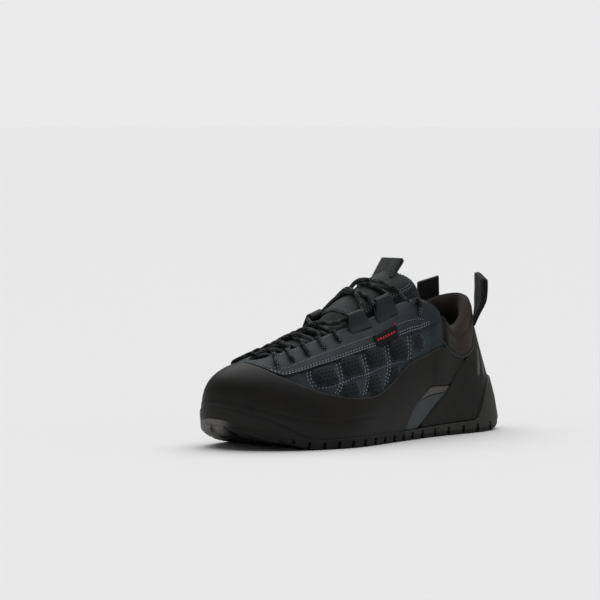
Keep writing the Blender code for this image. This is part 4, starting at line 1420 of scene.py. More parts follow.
    def punch(self, build: Build, pod: Pod, side: Side) -> None:
        """Adds one pod's perforations.

        Args:
            build: The piece that takes them.
            pod: The pod.
            side: Which side of the shoe.
        """
        row, column = (a.reshape(-1) for a in np.mgrid[-3:4, -3:4])
        x = (column + np.where(row % 2, 0.5, 0.0)) * self.hole_pitch
        y = row * self.hole_pitch * 0.87
        inside = (np.abs(x) / (pod.half_long - 1.4)) ** 3 + (np.abs(y) / (pod.half_high - 1.4)) ** 3
        x, y = x[inside < 1], y[inside < 1]
        u0 = np.array(side.u(pod.u))
        long = FORM.surface(u0 + 0.05, pod.h) - FORM.surface(u0 - 0.05, pod.h)
        high = FORM.surface(u0, pod.h + 0.01) - FORM.surface(u0, pod.h - 0.01)
        u = u0 + x * 0.1 / np.linalg.norm(long)
        h = pod.h + y * 0.02 / np.linalg.norm(high)
        free = (h > along(RAND_TOP, u) + 0.015) & (h < along(EYESTAY_LOW, u) - 0.01)
        u, h = u[free], h[free]
        base, normal = FORM.surface(u, h), FORM.normal(u, h)
        base = base + normal * self.relief(u, h, base)[:, None]
        a = np.broadcast_to(unit(long), base.shape)
        b = np.cross(normal, a)
        k = np.arange(8)
        n = (k + 1) % 8
        turns = k * math.pi / 4
        ring = (np.cos(turns)[None, :, None] * a[:, None] + np.sin(turns)[None, :, None] * b[:, None])
        # Each cup's walls and floor are painted near-black as the hole's shade.
        rows = [
            (base + normal * lift)[:, None] + ring * self.hole_radius * size
            for size, lift in ((1.15, -0.25), (1.0, 0.12), (0.45, 0.05))
        ]
        points = np.stack(rows, 1)
        walls = [np.stack([k + s, n + s, n + s + 8, k + s + 8], -1) for s in (0, 8)]
        lids = [[s + a, s + a + 1, s + 6 - a, s + 7 - a] for a in range(3) for s in (0, 16)]
        faces = np.concatenate([*walls, np.array(lids)])
        every = (np.arange(len(u)) * 24)[:, None, None] + faces[None]
        build.add(points.reshape(-1, 3), every.reshape(-1, 4))

    def stitches(self) -> None:
        """The net's double rows and its single long row."""
        build = Build("quilting_stitches", [PALE_THREAD])
        for side in Side:
            for net in self.nets[:-1]:
                for shift in (-1, 1):
                    self.sew_net(build, net, side, shift)
            self.sew_net(build, self.nets[-1], side, 0)
        place(build.object(), "suede")

    def sew_net(self, build: Build, net: Sequence[tuple[float, float]], side: Side, shift: int) -> None:
        """Adds one row of a net line, which ends at the rand and the lacing strip.

        Args:
            build: The piece that takes it.
            net: The line's (u, h) places.
            side: Which side of the shoe.
            shift: -1 or 1 for a row of a pair, 0 for a single row.
        """
        line = catmull(np.array([(u + shift * self.net_gap, h) for u, h in net]), 14)
        u = np.array([side.u(v) for v in line[:, 0]])
        h = line[:, 1]
        keep = (h > along(RAND_TOP, u) + 0.012) & (h < along(EYESTAY_LOW, u) - 0.004)
        if keep.sum() < 4:
            return
        u, h = u[keep], h[keep]
        base = FORM.surface(u, h)
        out = self.relief(u, h, base) + 0.22
        points = base + FORM.normal(u, h) * out[:, None]
        sew(build, points, FORM.normal(u, h), SEAM_STITCH)


@dataclass
class Rand:
    """The rubber rand: toe cap, sides and wings in one moulding.

    Attributes:
        tip: Station where each wing ends under the collar.
        step: Distance between its sections.
    """

    tip: float = 2.66
    step: float = 2.0

    @staticmethod
    def low(u: np.ndarray) -> np.ndarray:
        """Lower line of the rand.

        Args:
            u: Stations.

        Returns:
            Heights h.
        """
        rear = along(RAND_REAR, u) + SEAM_H
        fore = SEAM_H - 0.012 * smooth((folded(u) - 5.9) / 0.6)
        return np.where(folded(u) < 5.77, np.maximum(rear, SEAM_H), fore)

    @staticmethod
    def high(u: np.ndarray) -> np.ndarray:
        """Upper line of the rand, under the collar's edge at its wings.

        Args:
            u: Stations.

        Returns:
            Heights h.
        """
        share = smooth((folded(u) - 3.7) / 0.32)
        collar = along(COLLAR_EDGE, np.minimum(folded(u), 3.86))
        top = along(RAND_TOP, np.maximum(folded(u), 3.86))
        return collar * (1 - share) + top * share - SEAM_H

    @staticmethod
    def relief(u: np.ndarray, h: np.ndarray, base: np.ndarray) -> np.ndarray:
        """Slight swell along the toe's bumper and a hollow over the ball.

        Args:
            u: Stations.
            h: Heights.
            base: Points of the form there.

        Returns:
            Heights in millimetres.
        """
        toe = smooth((folded(u) - 9.0) / 2.0)
        bumper = 0.55 * toe * np.exp(-(((h - 0.12) / 0.07) ** 2))
        hollow = -0.3 * np.exp(-(((folded(u) - 8.6) / 0.8) ** 2)) * np.exp(-(((h - 0.3) / 0.1) ** 2))
        line = -0.32 * smooth((folded(u) - 6.6) / 1.2) * np.exp(-(((h - 0.19) / 0.011) ** 2))
        slow = np.sin(base[..., 0] / 9.0 + 3 * h) * np.sin(base[..., 2] / 6.5 + base[..., 1] / 12.0)
        return bumper + hollow + line + 0.14 * slow

    def build(self) -> None:
        """The rand's moulding."""
        sheet = Overlay(self.low, self.high, OVERLAY_IN, RAND_OUT, 1.1, self.step, self.relief)
        u = FORM.stations(self.tip, ROUND - self.tip, 0.3, self.step)
        build = Build("rand_rubber", [RAND_RUBBER])
        build.ring_loft(sheet.rings(u, 30))
        place(build.object(), "rubber", "rand")


@dataclass
class Counter:
    """The heel counter's overlay, with two plain grey bars on each side.

    Attributes:
        step: Distance between its sections.
        front: Station where its front edge ends on each side.
        bar_half: Half width of a bar.
        bar_lines: Places of the bars' two ends.
    """

    step: float = 2.0
    front: float = 4.9
    bar_half: float = 2.1
    bar_lines: Sequence[Sequence[tuple[float, float]]] = (
        ((1.78, 0.37), (1.36, 0.60)), ((2.12, 0.40), (1.72, 0.62)),
    )

    @staticmethod
    def high(u: np.ndarray) -> np.ndarray:
        """Upper line: the collar's edge at the back, the slanting front edge ahead of it.

        Args:
            u: Stations.

        Returns:
            Heights h.
        """
        share = smooth((folded(u) - 2.1) / 0.3)
        back = along(COLLAR_EDGE, np.minimum(folded(u), 2.4))
        ahead = along(COUNTER_FRONT, np.maximum(folded(u), 2.25))
        return back * (1 - share) + ahead * share - SEAM_H

    def build(self) -> None:
        """The counter's moulding."""
        sheet = Overlay(level(SEAM_H), self.high, OVERLAY_IN, RAND_OUT, 1.3, self.step)
        u = FORM.stations(-self.front, self.front, 0.3, self.step)
        build = Build("counter_rubber", [COUNTER_RUBBER])
        build.ring_loft(sheet.rings(u, 26))
        place(build.object(), "rubber", "heel_counter")

    def bars(self) -> None:
        """Two slanting bars, raised a little from the counter."""
        build = Build("counter_bars", [GREY_PRINT])
        for side in Side:
            for ends in self.bar_lines:
                path, normals = form_path(ends, side, RAND_OUT + 0.1, 1.5)
                across = unit(np.cross(normals, unit(np.gradient(path, axis=0))))
                rounded = np.sqrt(np.clip(1 - np.linspace(-1, 1, len(path)) ** 6, 0.02, 1))
                width = self.bar_half * rounded
                section = ((-1, -0.5), (-1, 0.02), (-0.8, 0.28), (0.8, 0.28), (1, 0.02), (1, -0.5))
                build.ring_loft(np.stack([
                    path + across * (width * share)[:, None] + normals * lift for share, lift in section
                ], 1))
        place(build.object(), "foam")


@dataclass
class ArchBand:
    """The two-tone band of the arch, between the rand and the heel counter.

    Attributes:
        step: Distance between its sections.
    """

    step: float = 1.5

    def build(self, side: Side) -> None:
        """The band on one side, its warm upper part over its cool lower part.

        Args:
            side: Which side of the shoe.
        """
        build = Build(f"arch_band_{side.value}_foam", [BAND_WARM, BAND_COOL])

        def foot(u: np.ndarray) -> np.ndarray:
            """Lower line of the cool part."""
            return np.maximum(along(COUNTER_FRONT, u) + SEAM_H, SEAM_H)

        def middle(u: np.ndarray) -> np.ndarray:
            """Line between the two parts."""
            return np.clip(along(BAND_DIVIDER, u), foot(u) + 0.004, along(RAND_REAR, u) - SEAM_H - 0.004)

        def head(u: np.ndarray) -> np.ndarray:
            """Upper line of the warm part."""
            return along(RAND_REAR, u) - SEAM_H

        parts = (
            (lambda u: middle(u) + 0.002, head, 3.70, 5.2, 1.9, 0),
            (foot, lambda u: middle(u) - 0.002, 3.80, 5.66, 1.5, 1),
        )
        for low, high, start, end, out, slot in parts:
            sheet = Overlay(low, high, OVERLAY_IN, out, 0.6, self.step)
            build.ring_loft(sheet.rings(side.stations(sheet.spread(start, end)), 10), slot=slot)
        place(build.object(), "foam", f"arch_band_{side.value}")


class Hole(NamedTuple):
    """One punched eyelet, with u counted from the heel."""

    name: str
    u: float
    h: float


EYELETS = [
    Hole("first", 10.23, 0.775), Hole("second", 9.62, 0.826), Hole("third", 8.99, 0.850),
    Hole("fourth", 8.37, 0.858), Hole("fifth", 7.79, 0.873), Hole("top", 4.90, 0.841),
]


@dataclass
class LacingStrip:
    """The strip that carries the eyelets, round the throat from collar tab to collar tab.

    Attributes:
        hole_radius: Radius of a punched eyelet.
        step: Size of a cell.
    """

    hole_radius: float = 1.9
    step: float = 1.5

    @staticmethod
    def low(u: np.ndarray) -> np.ndarray:
        """Lower line of the strip."""
        return along(EYESTAY_LOW, u) + SEAM_H

    def relief(self, u: np.ndarray, h: np.ndarray, base: np.ndarray) -> np.ndarray:
        """A dimple at each eyelet, a trough along the seam rows and slow waves.

        Args:
            u: Stations.
            h: Heights.
            base: Points of the form there.

        Returns:
            Heights in millimetres.
        """
        total = 0.12 * np.sin(folded(u) * 4.1) * np.sin(h * 40)
        for side in Side:
            for hole in EYELETS:
                centre = FORM.surface(np.array(side.u(hole.u)), hole.h)
                away = np.linalg.norm(base - centre, axis=-1)
                total -= 1.1 * np.exp(-((away / 2.6) ** 2))
        total -= 0.3 * np.exp(-(((h - self.low(u) - 0.022) / 0.012) ** 2))
        return total

    def build(self) -> None:
        """The strip's sheet."""
        sheet = Overlay(self.low, level(0.997), OVERLAY_IN + 0.2, EYESTAY_OUT, 0.6,
                        self.step, self.relief)
        u = sheet.spread(4.0, ROUND - 4.0)
        build = Build("lacing_strip_leather", [LACING_LEATHER])
        build.ring_loft(sheet.rings(u, 30))
        place(build.object(), "lacing_strip", "eyestay")

    def eyelets(self) -> None:
        """The punched holes: a pressed rim and a cup of painted shade in each dimple."""
        build = Build("eyelet_rims", [LACING_LEATHER, HOLE_SHADE])
        for side in Side:
            for hole in EYELETS:
                u = np.array(side.u(hole.u))
                h = np.array(hole.h)
                base = FORM.surface(u, h)
                normal = FORM.normal(u, h)
                out = EYESTAY_OUT + float(self.relief(u.reshape(1), h.reshape(1), base.reshape(1, 3))[0])
                a = unit(FORM.surface(u + 0.02, h) - base)
                b = np.cross(normal, a)
                turns = np.radians(np.arange(0, 360, 18))
                ring = np.cos(turns)[:, None] * a + np.sin(turns)[:, None] * b
                # The inner rings and the floor take the painted shade of the hole.
                profile = ((1.35, 0.2), (1.25, 0.75), (1.05, 0.85), (0.92, 0.6), (0.85, 0.05), (0.5, 0.02))
                first = build.count
                build.ring_loft(np.stack([
                    base + normal * (out + lift) + ring * self.hole_radius * size for size, lift in profile
                ], 1), closed=True, slot=np.array([0, 0, 0, 1, 1, 1]))
                build.fill(first + np.arange(len(turns)) * len(profile) + 5, 1)
        place(build.object(), "lacing_strip")

    def stitches(self) -> None:
        """One row above the eyelets, two along the lower edge."""
        build = Build("lacing_strip_stitches", [PALE_THREAD])
        eyelet_row = [(10.9, 0.835), (10.5, 0.79), (9.99, 0.745), (9.38, 0.786), (8.61, 0.806),
                      (7.69, 0.808), (6.7, 0.806), (5.9, 0.796), (5.2, 0.790), (4.75, 0.80)]
        edge = [(u, 0.972) for u in np.arange(4.6, 11.3, 0.4)]
        for side in Side:
            sew(build, *form_path(eyelet_row, side, EYESTAY_OUT + 0.12), FINE_STITCH)
            for lift in (0.012, 0.032):
                row = [(u, float(self.low(np.array(u))) + lift) for u in np.arange(4.5, 10.9, 0.4)]
                sew(build, *form_path(row, side, EYESTAY_OUT - 0.05), SEAM_STITCH)
            sew(build, *form_path(edge, side, EYESTAY_OUT + 0.12), FINE_STITCH)
        place(build.object(), "lacing_strip")


@dataclass
class Collar:
    """The padded cuff round the ankle: one roll of mesh from tab to tab.

    Attributes:
        end: Station of each end.
        step: Distance between its sections.
    """

    end: float = 3.79
    step: float = 1.8

    def build(self) -> None:
        """The roll, with its outer panel, its seam and its inner pad."""
        u = FORM.stations(-self.end, self.end, 0.9, self.step)
        low = along(COLLAR_EDGE, u) + SEAM_H
        top = along(UPPER_TOP, u)
        over = top + 0.006
        lift = UP * 1.2
        mid = (low + 1) / 2
        seam = low + (1 - low) * 0.62
        plump = 0.35 * np.sin(folded(u) * 5.3)
        crease = -0.7 * np.exp(-(((folded(u) - 1.95) / 0.16) ** 2))
        crease = crease - 0.55 * np.exp(-(((folded(u) - 3.0) / 0.13) ** 2))
        crease = crease + 0.35 * np.exp(-(((folded(u) - 2.5) / 0.22) ** 2))
        outer = [
            FORM.at(u, low, OVERLAY_IN), FORM.at(u, low + 0.004, 1.6),
            FORM.at(u, (low + mid) / 2, CUFF_OUT - 0.1 + crease * 0.5),
            FORM.at(u, mid, CUFF_OUT + crease), FORM.at(u, seam, 1.9),
            FORM.at(u, 0.93, CUFF_OUT - 0.1 + crease * 0.6),
            FORM.at(u, 0.985, 1.9), FORM.at(u, 1.0, 0.2) + UP * 0.3,
            FORM.at(u, 1.0, -2.8) + lift, FORM.at(u, 0.985, -COLLAR_PAD + 2.0) + UP * 0.4,
            FORM.at(u, 0.94, -COLLAR_PAD + 0.4 + plump), FORM.at(u, 0.87, -COLLAR_PAD + plump),
            FORM.at(u, 0.76, -COLLAR_PAD + 1.0), FORM.at(u, 0.66, -WALL - 2.9),
            FORM.at(u, 0.60, -WALL - 1.1),
        ]
        soft = catmull(np.stack(outer), 4)
        back = np.stack([
            FORM.at(u, 0.60, -WALL - 0.5), FORM.at(u, 0.78, -WALL - 0.5),
            FORM.at(u, over, -WALL - 0.5), FORM.at(u, over, OVERLAY_IN),
            FORM.at(u, (low + over) / 2, OVERLAY_IN),
        ])
        rings = np.swapaxes(np.concatenate([soft, back]), 0, 1)
        build = Build("collar_mesh", [COLLAR_MESH])
        build.ring_loft(rings)
        piece = place(build.object(), "collar_mesh", "collar")

    @staticmethod
    def binding() -> None:
        """The thin edge that runs under the roll, and the facing's stitches."""
        build = Build("collar_edge_piping", [DARK_THREAD])
        for side in Side:
            row = [(u, float(along(COLLAR_EDGE, np.array(u)))) for u in np.arange(1.0, 4.1, 0.25)]
            path, _ = form_path(row, side, RAND_OUT - 0.1, 1.5)
            build.ring_loft(tube(path, 0.42, 6))
            facing = [(u, float(along(COLLAR_EDGE, np.array(u))) + 0.055)
                      for u in np.arange(2.5, 3.7, 0.2)]
            sew(build, *form_path(facing, side, CUFF_OUT - 0.1), FINE_STITCH)
        place(build.object(), "collar_mesh")

    @staticmethod
    def facing() -> None:
        """The smooth strip that binds the front edge of the roll on each side."""
        build = Build("collar_facing_leather", [LOOP_LEATHER])
        for side in Side:
            sheet = Overlay(lambda u: along(COLLAR_EDGE, u) + 0.012, level(0.955),
                            CUFF_OUT - 1.6, CUFF_OUT + 0.25, 0.5, 1.2)
            build.ring_loft(sheet.rings(side.stations(sheet.spread(3.52, 3.77)), 24))
        place(build.object(), "lacing_strip")


def tube(path: np.ndarray, radius: float | np.ndarray, sides: int) -> Grid:
    """Round sections along a path.

    Args:
        path: Centre line.
        radius: Radius, one for all or one for each point.
        sides: Points of a section.

    Returns:
        Points as (sections, sides, 3).
    """
    side, up = transported(path)
    turns = np.arange(sides) * 2 * np.pi / sides
    ring = np.cos(turns)[None, :, None] * side[:, None] + np.sin(turns)[None, :, None] * up[:, None]
    return path[:, None] + ring * np.broadcast_to(radius, len(path))[:, None, None]


def strap(path: np.ndarray, wide: np.ndarray, width: float | np.ndarray, thick: float) -> Grid:
    """Flat sections with rounded corners along a path.

    Args:
        path: Centre line.
        wide: Direction of the width, for all points or for each.
        width: Full width, one for all or one for each point.
        thick: Thickness.

    Returns:
        Points as (sections, points of a section, 3).
    """
    way = unit(np.gradient(path, axis=0))
    wide = unit(np.broadcast_to(wide, path.shape))
    out = unit(np.cross(way, wide))
    corner = thick * 0.45
    half = np.broadcast_to(width, len(path)) / 2
    sections = []
    for a, turn in ((1, 0), (1, 45), (1, 90), (-1, 90), (-1, 135), (-1, 180),
                    (-1, 180), (-1, 225), (-1, 270), (1, 270), (1, 315), (1, 360)):
        angle = math.radians(turn)
        x = a * (half - corner) + math.cos(angle) * corner
        y = math.sin(angle) * corner + math.copysign(thick / 2 - corner, math.sin(angle + 1e-6))
        sections.append(path + wide * x[:, None] + out * y)
    crowned = []
    for k, section in enumerate(sections):
        crowned.append(section)
        if k in (2, 8):
            nxt = sections[k + 1]
            for share in (0.25, 0.5, 0.75):
                crowned.append(section + (nxt - section) * share)
    return np.stack(crowned, 1)


class Crest(NamedTuple):
    """One section of the tongue, at the topline's station u: its middle and its thickness."""

    name: str
    u: float
    x: float
    z: float
    edge_h: float
    thick: float


TONGUE = [
    Crest("under the vamp", 11.3, 241.5, 57.6, 0.95, 2.5),
    Crest("front of throat", 10.7, 232.5, 62.2, 0.94, 3.0),
    Crest("first bar", 10.0, 222.0, 68.0, 0.93, 3.5),
    Crest("forefoot", 9.0, 203.5, 76.0, 0.92, 4.0),
    Crest("last punched bar", 8.0, 180.0, 82.0, 0.91, 4.0),
    Crest("below the pad", 7.5, 168.0, 87.0, 0.90, 4.5),
    Crest("first loop", 7.0, 155.5, 97.0, 0.90, 5.0),
    Crest("between loops", 6.5, 143.0, 104.5, 0.90, 5.5),
    Crest("second loop", 6.0, 130.0, 110.5, 0.90, 5.5),
    Crest("pad", 5.5, 114.5, 118.0, 0.90, 6.0),
    Crest("top eyelet", 5.0, 104.0, 123.0, 0.90, 6.0),
    Crest("top edge", 4.6, 99.0, 125.0, 0.90, 5.0),
]


@dataclass
class Tongue:
    """The padded tongue, its stitched pad and the folded tab at its top.

    Attributes:
        fine_rows: Cells between two crests.
        fine_across: Cells across it.
        panel_from: Crest station at the pad's lower end.
        panel_to: Crest station at its upper end.
        panel_half: Half width of the pad, as a share of the tongue's.
        sink: How much lower its middle lies than the crests, behind the toe end of the throat.
        folds: Crest stations of the soft folds across it.
        tab_height: Height of the folded tab.
        tab_width: Width of the tab.
        sections: Points of its outer face.
        normals: Directions out of the face.
        u_rows: Crest stations of the sections.
    """

    fine_rows: int = 8
    fine_across: int = 60
    panel_from: float = 7.0
    panel_to: float = 4.72
    panel_half: float = 0.5
    sink: float = 2.8
    folds: Sequence[float] = (7.35, 8.3, 9.2)
    tab_height: float = 17.6
    tab_width: float = 20.0
    sections: Grid = field(init=False)
    normals: Grid = field(init=False)
    u_rows: np.ndarray = field(init=False)

    def __post_init__(self) -> None:
        """Works out the tongue's outer face on a fine grid."""
        coarse = []
        for crest in TONGUE:
            (edge_a, rim_a), (edge_b, rim_b) = (
                [FORM.at(u, h, -WALL - TONGUE_IN) for h in (crest.edge_h, 1.0)]
                for u in (crest.u, ROUND - crest.u)
            )
            sunk = self.sink * float(smooth(np.array((10.9 - crest.u) / 0.9)))
            middle = np.array([crest.x, (rim_a[1] + rim_b[1]) / 2, crest.z - sunk])
            bend = np.array([0.72, 0.72, 0.30])
            knots = [edge_a, rim_a, middle + (rim_a - middle) * bend, middle,
                     middle + (rim_b - middle) * bend, rim_b, edge_b]
            coarse.append(catmull(np.array(knots), self.fine_across // 6))
        coarse = np.array(coarse)
        self.sections = catmull(coarse, self.fine_rows)
        self.u_rows = catmull(np.array([[c.u] for c in TONGUE]), self.fine_rows)[:, 0]
        rows = np.gradient(self.sections, axis=0)
        across = np.gradient(self.sections, axis=1)
        normal = unit(np.cross(rows, across))
        self.normals = normal if normal[..., 2].mean() > 0 else -normal

    def at(self, u: np.ndarray, across: np.ndarray, out: np.ndarray) -> np.ndarray:
        """Points over the tongue's face.

        Args:
            u: Crest stations.
            across: From -1 on the outer side to 1 on the inner.
            out: Distances from the face.

        Returns:
            Points in millimetres.
        """
        u, across, out = np.broadcast_arrays(*(np.asarray(a, float) for a in (u, across, out)))
        row = np.interp(-u, -self.u_rows, np.arange(len(self.u_rows)))
        column = (across + 1) / 2 * (self.sections.shape[1] - 1)
        i = np.clip(row.astype(int), 0, len(self.u_rows) - 2)
        j = np.clip(column.astype(int), 0, self.sections.shape[1] - 2)
        s, t = (row - i)[..., None], (column - j)[..., None]

        def blend(a: np.ndarray) -> np.ndarray:
            """The grid's values between the four places around.

            Args:
                a: Values on the grid.

            Returns:
                Values at the places asked for.
            """
            near = a[i, j] * (1 - t) + a[i, j + 1] * t
            far = a[i + 1, j] * (1 - t) + a[i + 1, j + 1] * t
            return near * (1 - s) + far * s

        return blend(self.sections) + blend(self.normals) * out[..., None]

    def build(self) -> None:
        """The padded body: a pillow with rounded edges all round."""
        rows, wide = self.sections.shape[:2]
        thick = np.interp(-self.u_rows, [-c.u for c in TONGUE], [c.thick for c in TONGUE])[:, None]
        thick = thick * (1 - 0.45 * np.abs(np.linspace(-1, 1, wide))[None, :] ** 3)
        middle = self.sections - self.normals * (thick / 2)[..., None]
        along_rows = np.linalg.norm(np.diff(self.sections, axis=0), axis=2)
        run = np.concatenate([np.zeros((1, wide)), np.cumsum(along_rows, axis=0)])
        across_run = np.linalg.norm(np.diff(self.sections, axis=1), axis=2)
        walk = np.concatenate([np.zeros((rows, 1)), np.cumsum(across_run, axis=1)], axis=1)
        near = np.minimum(run[-1:] - run, np.minimum(walk, walk[:, -1:] - walk))
        radius = thick * 0.6
        share = np.sqrt(np.clip(1 - np.clip(1 - near / radius, 0, 1) ** 2, 0.0, 1))
        share = np.maximum(share, 0.06)
        fold = sum(np.exp(-(((self.u_rows - u) / 0.16) ** 2)) for u in self.folds)
        lift = thick / 2 * share - 0.6 * fold[:, None] * smooth(near / 8)
        top = middle + self.normals * lift[..., None]
        under = middle - self.normals * (thick / 2 * share)[..., None]
        rings = np.concatenate([top, under[:, ::-1]], axis=1)
        build = Build("tongue_mesh", [TONGUE_MESH])
        build.ring_loft(rings)
        piece = place(build.object(), "collar_mesh", "tongue")

    def outline(self, inset: float, count: int) -> tuple[np.ndarray, np.ndarray]:
        """Rounded outline of the pad as (crest station, across) places, moved in by an inset.

        Args:
            inset: How far it is moved in, in about millimetres.
            count: Number of places.

        Returns:
            Crest stations and places across.
        """
        turns = np.linspace(0, 2 * np.pi, count, endpoint=False)
        cosine, sine = np.cos(turns), np.sin(turns)
        power = 2 / 7
        across = np.sign(cosine) * np.abs(cosine) ** power * (self.panel_half - inset * 0.022)
        middle = (self.panel_from + self.panel_to) / 2
        half = (self.panel_from - self.panel_to) / 2 - inset * 0.035
        return middle + np.sign(sine) * np.abs(sine) ** power * half, across

    def panel(self) -> None:
        """The smooth pad, swollen in the middle and pressed down at its stitches."""
        build = Build("tongue_pad_leather", [PANEL_LEATHER])
        count, levels = 96, 14
        middle = (self.panel_from + self.panel_to) / 2
        u_edge, a_edge = self.outline(0.0, count)
        rows = []
        for share in np.linspace(1, 0.03, levels):
            u = middle + (u_edge - middle) * share
            rim = 1 - share
            seam = 0.35 * math.exp(-((rim - 0.1) / 0.035) ** 2)
            lift = PANEL_GAP + PANEL_THICK * min(1.0, 0.45 + rim * 9) - seam
            rows.append(self.at(u, a_edge * share, lift + 0.25 * math.sin(rim * math.pi)))
        under = [self.at(middle + (u_edge - middle) * share, a_edge * share, PANEL_GAP)
                 for share in (1.0, 0.6, 0.03)]
        build.ring_loft(np.array(rows[::-1] + under))
        place(build.object(), "lacing_strip", "tongue_panel")

    def stitches(self) -> None:
        """Two rows inside the pad's edge."""
        build = Build("tongue_stitches", [PALE_THREAD])
        for inset in (2.0, 3.6):
            u, across = self.outline(inset, 160)
            path = self.at(u, across, PANEL_GAP + PANEL_THICK - 0.05)
            path = np.concatenate([path, path[:1]])
            out = self.at(u, across, 5.0) - self.at(u, across, 0.0)
            out = np.concatenate([out, out[:1]])
            sew(build, path, unit(out), FINE_STITCH)
        place(build.object(), "lacing_strip")

    def tab(self) -> None:
        """The folded webbing tab, leaning back over the tongue's top."""
        base = self.at(4.95, 0.0, PANEL_GAP - 1.0)
        up, out = unit(np.array([-0.66, 0, 0.75])), unit(np.array([0.75, 0, 0.66]))
        folded_path = folded_strap(base - up * 3.5, up, out, self.tab_height, 1.7, 3.0)
        path = resampled(catmull(np.array(folded_path), 5), 0.8)
        build = Build("tongue_tab_webbing", [TAB_WEBBING])
        build.ring_loft(strap(path, np.array([0, 1.0, 0]), self.tab_width, WEBBING_THICK))
        place(build.object(), "webbing", "tongue_tab")


def folded_strap(base: np.ndarray, up: np.ndarray, out: np.ndarray, height: float,
                 gap_low: float, gap_high: float) -> list[np.ndarray]:
    """Centre line of a folded strap: up one leg, round the fold and down the other.

    Args:
        base: Middle of its foot.
        up: Direction of its legs.
        out: Direction from the first leg to the second.
        height: Height of the fold.
        gap_low: Distance between the legs at the foot.
        gap_high: Distance between them at the fold.

    Returns:
        Points in order.
    """
    radius = gap_high / 2
    spread = (gap_low + gap_high) / 4
    top = base + up * (height - radius)
    path = [base - out * gap_low / 2, base - out * spread + up * height * 0.45]
    path += [top + radius * (math.cos(t) * out + math.sin(t) * up)
             for t in np.radians([180, 135, 90, 45, 0])]
    path += [base + out * spread + up * height * 0.45, base + out * gap_low / 2]
    return path


@dataclass
class PullLoop:
    """A folded webbing loop at one back corner of the collar.

    Attributes:
        name: Its node's name.
        u: Station of its foot.
        seat: Distance of its foot from the cuff.
        lean_out: Lean outwards.
        lean_x: Lean towards the toe.
        bow: How far its legs bow out, in millimetres.
        twist: Turn of the fold against the foot, in degrees.
        height: Height of the fold.
        slant: Rise of the fold from one side of the strap to the other.
        foot_share: Width of the gathered foot, as a share of the strap's width.
        width: Width of the strap.
    """

    name: str
    u: float
    seat: float
    lean_out: float
    lean_x: float
    bow: float
    twist: float
    height: float
    slant: float
    foot_share: float
    width: float = 17.0

    def build(self) -> None:
        """The loop, its legs bowed and turned as the webbing lies."""
        base = FORM.at(self.u, 0.80, CUFF_OUT + self.seat)
        out = FORM.outward(np.array(self.u))
        wide = unit(np.cross(out, UP))
        up = unit(np.array([self.lean_x, 0, 1.0]) + out * self.lean_out)
        path = np.array(folded_strap(base, up, out, self.height, 1.45, 4.2))
        path = resampled(catmull(path, 6), 1.0)
        climb = np.clip(((path - base) @ up) / self.height, 0, 1)
        free = smooth((climb - 0.1) / 0.5)
        at_foot = self.foot_share * 0.65
        turn = np.radians(self.twist) * (at_foot + (1 - at_foot) * free)
        away = path - base - climb[:, None] * self.height * up
        level = away @ out
        path = path - out * level[:, None]
        turned = out * np.cos(turn)[:, None] + np.cross(up, out) * np.sin(turn)[:, None]
        path = path + turned * level[:, None] + out * (self.bow * np.sin(climb * np.pi))[:, None]
        across = wide * np.cos(turn)[:, None] + np.cross(up, wide) * np.sin(turn)[:, None]
        across = across + up * (self.slant * climb)[:, None]
        build = Build(f"{self.name}_webbing", [LOOP_WEBBING])
        width = self.width * (self.foot_share + (1 - self.foot_share) * free)
        build.ring_loft(strap(path, across, width, WEBBING_THICK))
        place(build.object(), "webbing", self.name)


PULL_LOOPS = [
    PullLoop("pull_loop_outer", u=1.25, seat=-1.5, lean_out=0.17, lean_x=0.0, bow=2.4, twist=27.0,
             height=37.5, slant=-0.22, foot_share=0.6),
    PullLoop("pull_loop_inner", u=22.5, seat=2.4, lean_out=-0.1, lean_x=0.1, bow=0.8, twist=-14.0,
             height=30.5, slant=0.35, foot_share=0.9),
]


class LoopRow(NamedTuple):
    """One row of lace loops, at the topline's station u."""

    name: str
    u: float


LOOP_ROWS = [LoopRow("front", 6.95), LoopRow("rear", 5.95)]


